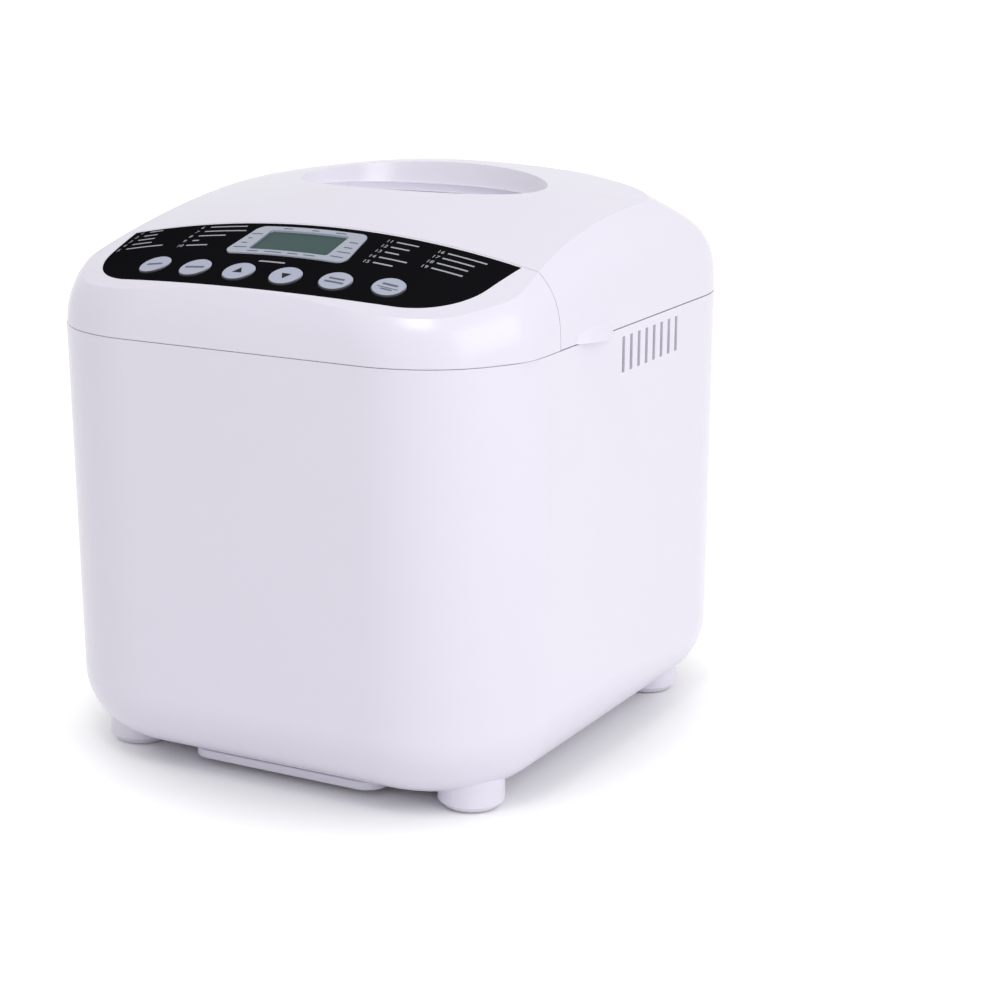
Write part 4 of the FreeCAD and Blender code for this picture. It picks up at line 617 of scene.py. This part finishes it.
class BREAD_OT_bezel_ticks(bpy.types.Operator):
    """Print the ticks on the display surround"""

    bl_idname = "bread.bezel_ticks"
    bl_label = "Display ticks"

    def execute(self, context):
        look = context.scene.bread_controls
        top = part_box("display_bezel")[1].z + PRINT_START
        piece = start_flat("display_ticks", top)
        for x, y, length in BEZEL_TICKS:
            add_line((x * MM, y * MM, top), length * MM, look.tick, SHORT_LINE_CUTS)
        ink = print_ink("grey_tick_ink", look.grey_ink)
        lay_on(piece, "display_bezel", "base", ink, look.ink)
        return {"FINISHED"}


class BREAD_OT_key_marks(bpy.types.Operator):
    """Print arrows and plain lines on the keys"""

    bl_idname = "bread.key_marks"
    bl_label = "Key marks"

    def execute(self, context):
        look = context.scene.bread_controls
        grey = print_ink("grey_key_ink", look.grey_ink)
        dark = print_ink("dark_key_ink", look.dark_ink)
        for key, body in sorted({(line[0], line[1]) for line in KEY_LINES}):
            middle, top = self.key_top(key)
            piece = start_flat(body + "_mark", top)
            for _, _, back, length, height in [line for line in KEY_LINES if line[0] == key]:
                place = (middle.x, middle.y + back * MM, top)
                add_line(place, length * MM, height * MM, SHORT_LINE_CUTS)
            lay_on(piece, key, body, grey, look.ink)
        for key, body, turn in KEY_ARROWS:
            middle, top = self.key_top(key)
            piece = start_flat(body + "_mark", top)
            place = (middle.x, middle.y, top)
            way = (0, 0, math.radians(turn))
            shape = {"vertices": 3, "radius": look.arrow, "fill_type": "NGON"}
            bpy.ops.mesh.primitive_circle_add(location=place, rotation=way, **shape)
            lay_on(piece, key, body, dark, look.ink)
        return {"FINISHED"}

    def key_top(self, key):
        """Middle of a key's round face and a height just over it."""
        record = frame["record"]["behaviour"]
        body = next(name for name, nodes in record["bodies"].items() if key in nodes)
        press = Vector(next(joint["axis"] for joint in record["joints"] if joint["child"] == body))
        across = press.orthogonal().normalized()
        axes = (press.normalized(), across, press.normalized().cross(across))
        corners = [v.co for v in NODES[key].data.vertices]
        top = min(corner.dot(axes[0]) for corner in corners)
        face = [corner for corner in corners if corner.dot(axes[0]) < top + KEY_FACE_DEPTH]
        middle = Vector()
        for axis in axes:
            reach = [corner.dot(axis) for corner in face]
            middle += axis * (min(reach) + max(reach)) / 2
        return middle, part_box(key)[1].z + PRINT_START


class BREAD_OT_lid_inside(bpy.types.Operator):
    """Give the lid's liner, seal, window and hinge pins their finish"""

    bl_idname = "bread.lid_inside"
    bl_label = "Lid inside"

    def execute(self, context):
        paint(metal_finish("pressed_aluminium"), "lid_liner")
        paint(soft_rubber("silicone_seal", linear("8E8F96")), "lid_seal", "window_gasket")
        paint(window_pane(linear("F3F6F9")), "window_glass")
        paint(metal_finish("ground_steel_pin"), "hinge_pins")
        return {"FINISHED"}


class BREAD_OT_oven(bpy.types.Operator):
    """Give deck, oven, heater and probe their finish"""

    bl_idname = "bread.oven"
    bl_label = "Oven"

    def execute(self, context):
        paint(plain_plastic("heat_proof_moulding", linear("DCDCE3"), 0.45), "top_deck")
        paint(metal_finish("aluminised_sheet"), "oven_chamber", "pan_socket")
        paint(heater_sheath(linear("7A746E")), "heating_element")
        paint(fired_ceramic(linear("E6E1D6")), "element_bushings")
        paint(metal_finish("stamped_steel_clip"), "element_clips")
        paint(metal_finish("drawn_steel_probe"), "temperature_sensor")
        return {"FINISHED"}


class BREAD_OT_pan(bpy.types.Operator):
    """Give pan, handle, shaft and paddle their finish"""

    bl_idname = "bread.pan"
    bl_label = "Pan and paddle"

    def execute(self, context):
        paint(nonstick_coat(linear("3B3B3E")), "bread_pan", "kneading_paddle")
        paint(metal_finish("die_cast_alloy"), "pan_base_ring", "shaft_wing")
        paint(metal_finish("plated_wire"), "pan_handle")
        paint(metal_finish("ground_steel_shaft"), "pan_shaft")
        paint(metal_finish("turned_brass"), "pan_bush")
        return {"FINISHED"}


class BREAD_OT_drive(bpy.types.Operator):
    """Give motor, belt, pulleys and drive their finish"""

    bl_idname = "bread.drive"
    bl_label = "Drive"

    def execute(self, context):
        paint(metal_finish("turned_steel"), "drive_shaft", "motor_shaft")
        paint(metal_finish("cast_alloy_block"), "drive_coupling", "bearing_block")
        paint(metal_finish("sintered_bronze"), "drive_bush")
        nylon = plain_plastic("glass_filled_nylon", linear("2B2B2D"), 0.55)
        paint(nylon, "large_pulley", "small_pulley", "motor_capacitor")
        paint(metal_finish("lacquered_motor_can"), "motor")
        paint(soft_rubber("neoprene_belt", linear("2A2A2B")), "drive_belt")
        return {"FINISHED"}


class BREAD_OT_electrics(bpy.types.Operator):
    """Give boards, switches, chassis and lead bush their finish"""

    bl_idname = "bread.electrics"
    bl_label = "Electrics"

    def execute(self, context):
        paint(circuit_board(linear("1F6B45")), "control_board", "power_board")
        paint(plain_plastic("black_switch_moulding", linear("303033"), 0.5), "tact_switches")
        paint(plain_plastic("grey_nylon_bush", linear("D9D8DF"), 0.45), "cord_gland")
        paint(metal_finish("zinc_coated_sheet"), "chassis")
        return {"FINISHED"}


class BREAD_OT_stage(bpy.types.Operator):
    """Set the pale floor, the soft lights and the camera"""

    bl_idname = "bread.stage"
    bl_label = "Studio"

    def execute(self, context):
        look = context.scene.bread_studio
        self.floor(look)
        self.surroundings(context.scene, look.fill)
        for name, place, aim, width in STUDIO_LIGHTS:
            self.soft_light(name, place, aim, width, getattr(look, name))
        self.camera(context.scene, look)
        context.scene.view_settings.view_transform = "Standard"
        return {"FINISHED"}

    def floor(self, look):
        """White paper floor that keeps the part's soft shadow and turns plain white away from it: its
        glow is painted light, which leaves a painted oval shadow under the part.
        """
        bpy.ops.object.select_all(action="DESELECT")
        bpy.ops.mesh.primitive_plane_add(size=FLOOR_WIDTH)
        floor = bpy.context.object
        floor.name = "studio_floor"
        white = linear("FAFAFA")
        material, tree, shader = finish("studio_paper", white, 0.9, emission_color=(1, 1, 1, 1))
        surface(tree, shader, white, linear("F8F8F8"),
                patch_mm=400.0, grain_mm=2.0, relief_mm=0.002, gloss=(0.85, 0.95))
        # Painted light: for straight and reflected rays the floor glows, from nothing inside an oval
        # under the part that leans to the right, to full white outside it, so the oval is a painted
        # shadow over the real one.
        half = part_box("outer_housing")[1] * look.spread
        oval = {"Location": (-look.lean / half.x, 0, 0), "Scale": (1 / half.x, 1 / half.y, 0)}
        place = add_node(tree, "ShaderNodeTexCoord")
        away = add_node(tree, "ShaderNodeMapping", oval, {"Vector": place.outputs["Object"]})
        reach = {0: away.outputs["Vector"]}
        share = add_node(tree, "ShaderNodeVectorMath", None, reach, operation="LENGTH")
        span = {"From Min": look.fade[0], "From Max": look.fade[1], "To Max": look.glow}
        far = {"Value": share.outputs["Value"]}
        glow = add_node(tree, "ShaderNodeMapRange", span, far, interpolation_type="SMOOTHSTEP")
        both = {0: glow.outputs["Result"], 1: seen_rays(tree)}
        shown = add_node(tree, "ShaderNodeMath", None, both, operation="MULTIPLY")
        tree.links.new(shown.outputs[0], shader.inputs["Emission Strength"])
        floor.data.materials.append(material)

    def surroundings(self, scene, strength):
        """Even light from all round, which shows as white behind the part."""
        world = bpy.data.worlds.new("studio_white")
        scene.world = world
        world.use_nodes = True
        tree = world.node_tree
        span = {"To Min": strength, "To Max": 1.0}
        level = add_node(tree, "ShaderNodeMapRange", span, {"Value": seen_rays(tree)})
        tree.links.new(level.outputs["Result"], tree.nodes["Background"].inputs["Strength"])
        tree.nodes["Background"].inputs["Color"].default_value = (1, 1, 1, 1)

    def soft_light(self, name, place, aim, width, power):
        """Square soft light aimed at a point."""
        bpy.ops.object.light_add(type="AREA", location=place)
        light = bpy.context.object
        light.name = name
        light.data.size = width
        light.data.energy = power
        light.rotation_euler = (Vector(place) - Vector(aim)).to_track_quat("Z", "Y").to_euler()

    def camera(self, scene, look):
        """Camera at the photograph's angle."""
        flat = math.cos(look.elevation)
        right = math.sin(look.azimuth) * flat
        front = -math.cos(look.azimuth) * flat
        back = Vector((right, front, math.sin(look.elevation)))
        aim = Vector((0, 0, look.aim))
        bpy.ops.object.camera_add(location=aim + back * look.distance)
        camera = bpy.context.object
        camera.rotation_euler = back.to_track_quat("Z", "Y").to_euler()
        camera.data.lens = look.lens
        camera.data.shift_x = look.shift[0]
        camera.data.shift_y = look.shift[1]
        scene.camera = camera


STEPS = (
    BREAD_OT_shells, BREAD_OT_plate_lip, BREAD_OT_controls,
    BREAD_OT_program_lines, BREAD_OT_program_numbers, BREAD_OT_bezel_ticks, BREAD_OT_key_marks,
    BREAD_OT_lid_inside, BREAD_OT_oven, BREAD_OT_pan, BREAD_OT_drive, BREAD_OT_electrics,
    BREAD_OT_stage,
)


class BREAD_PT_looks(bpy.types.Panel):
    """Lists the steps that dress the bread machine"""

    bl_label = "Bread machine"
    bl_idname = "BREAD_PT_looks"
    bl_space_type = "VIEW_3D"
    bl_region_type = "UI"
    bl_category = "Bread machine"

    def draw(self, context):
        for step in STEPS:
            self.layout.operator(step.bl_idname)


CLASSES = (ShellFinish, ControlFinish, StudioLook) + STEPS + (BREAD_PT_looks,)


def register():
    """Make the settings, steps and panel known."""
    for item in CLASSES:
        bpy.utils.register_class(item)
    bpy.types.Scene.bread_shells = PointerProperty(type=ShellFinish)
    bpy.types.Scene.bread_controls = PointerProperty(type=ControlFinish)
    bpy.types.Scene.bread_studio = PointerProperty(type=StudioLook)


def unregister():
    """Take the settings, steps and panel away."""
    del bpy.types.Scene.bread_studio
    del bpy.types.Scene.bread_controls
    del bpy.types.Scene.bread_shells
    for item in reversed(CLASSES):
        bpy.utils.unregister_class(item)


def main():
    """Dress the part step by step."""
    register()
    for step in STEPS:
        group, name = step.bl_idname.split(".")
        getattr(getattr(bpy.ops, group), name)()


if __name__ == "__main__":
    main()
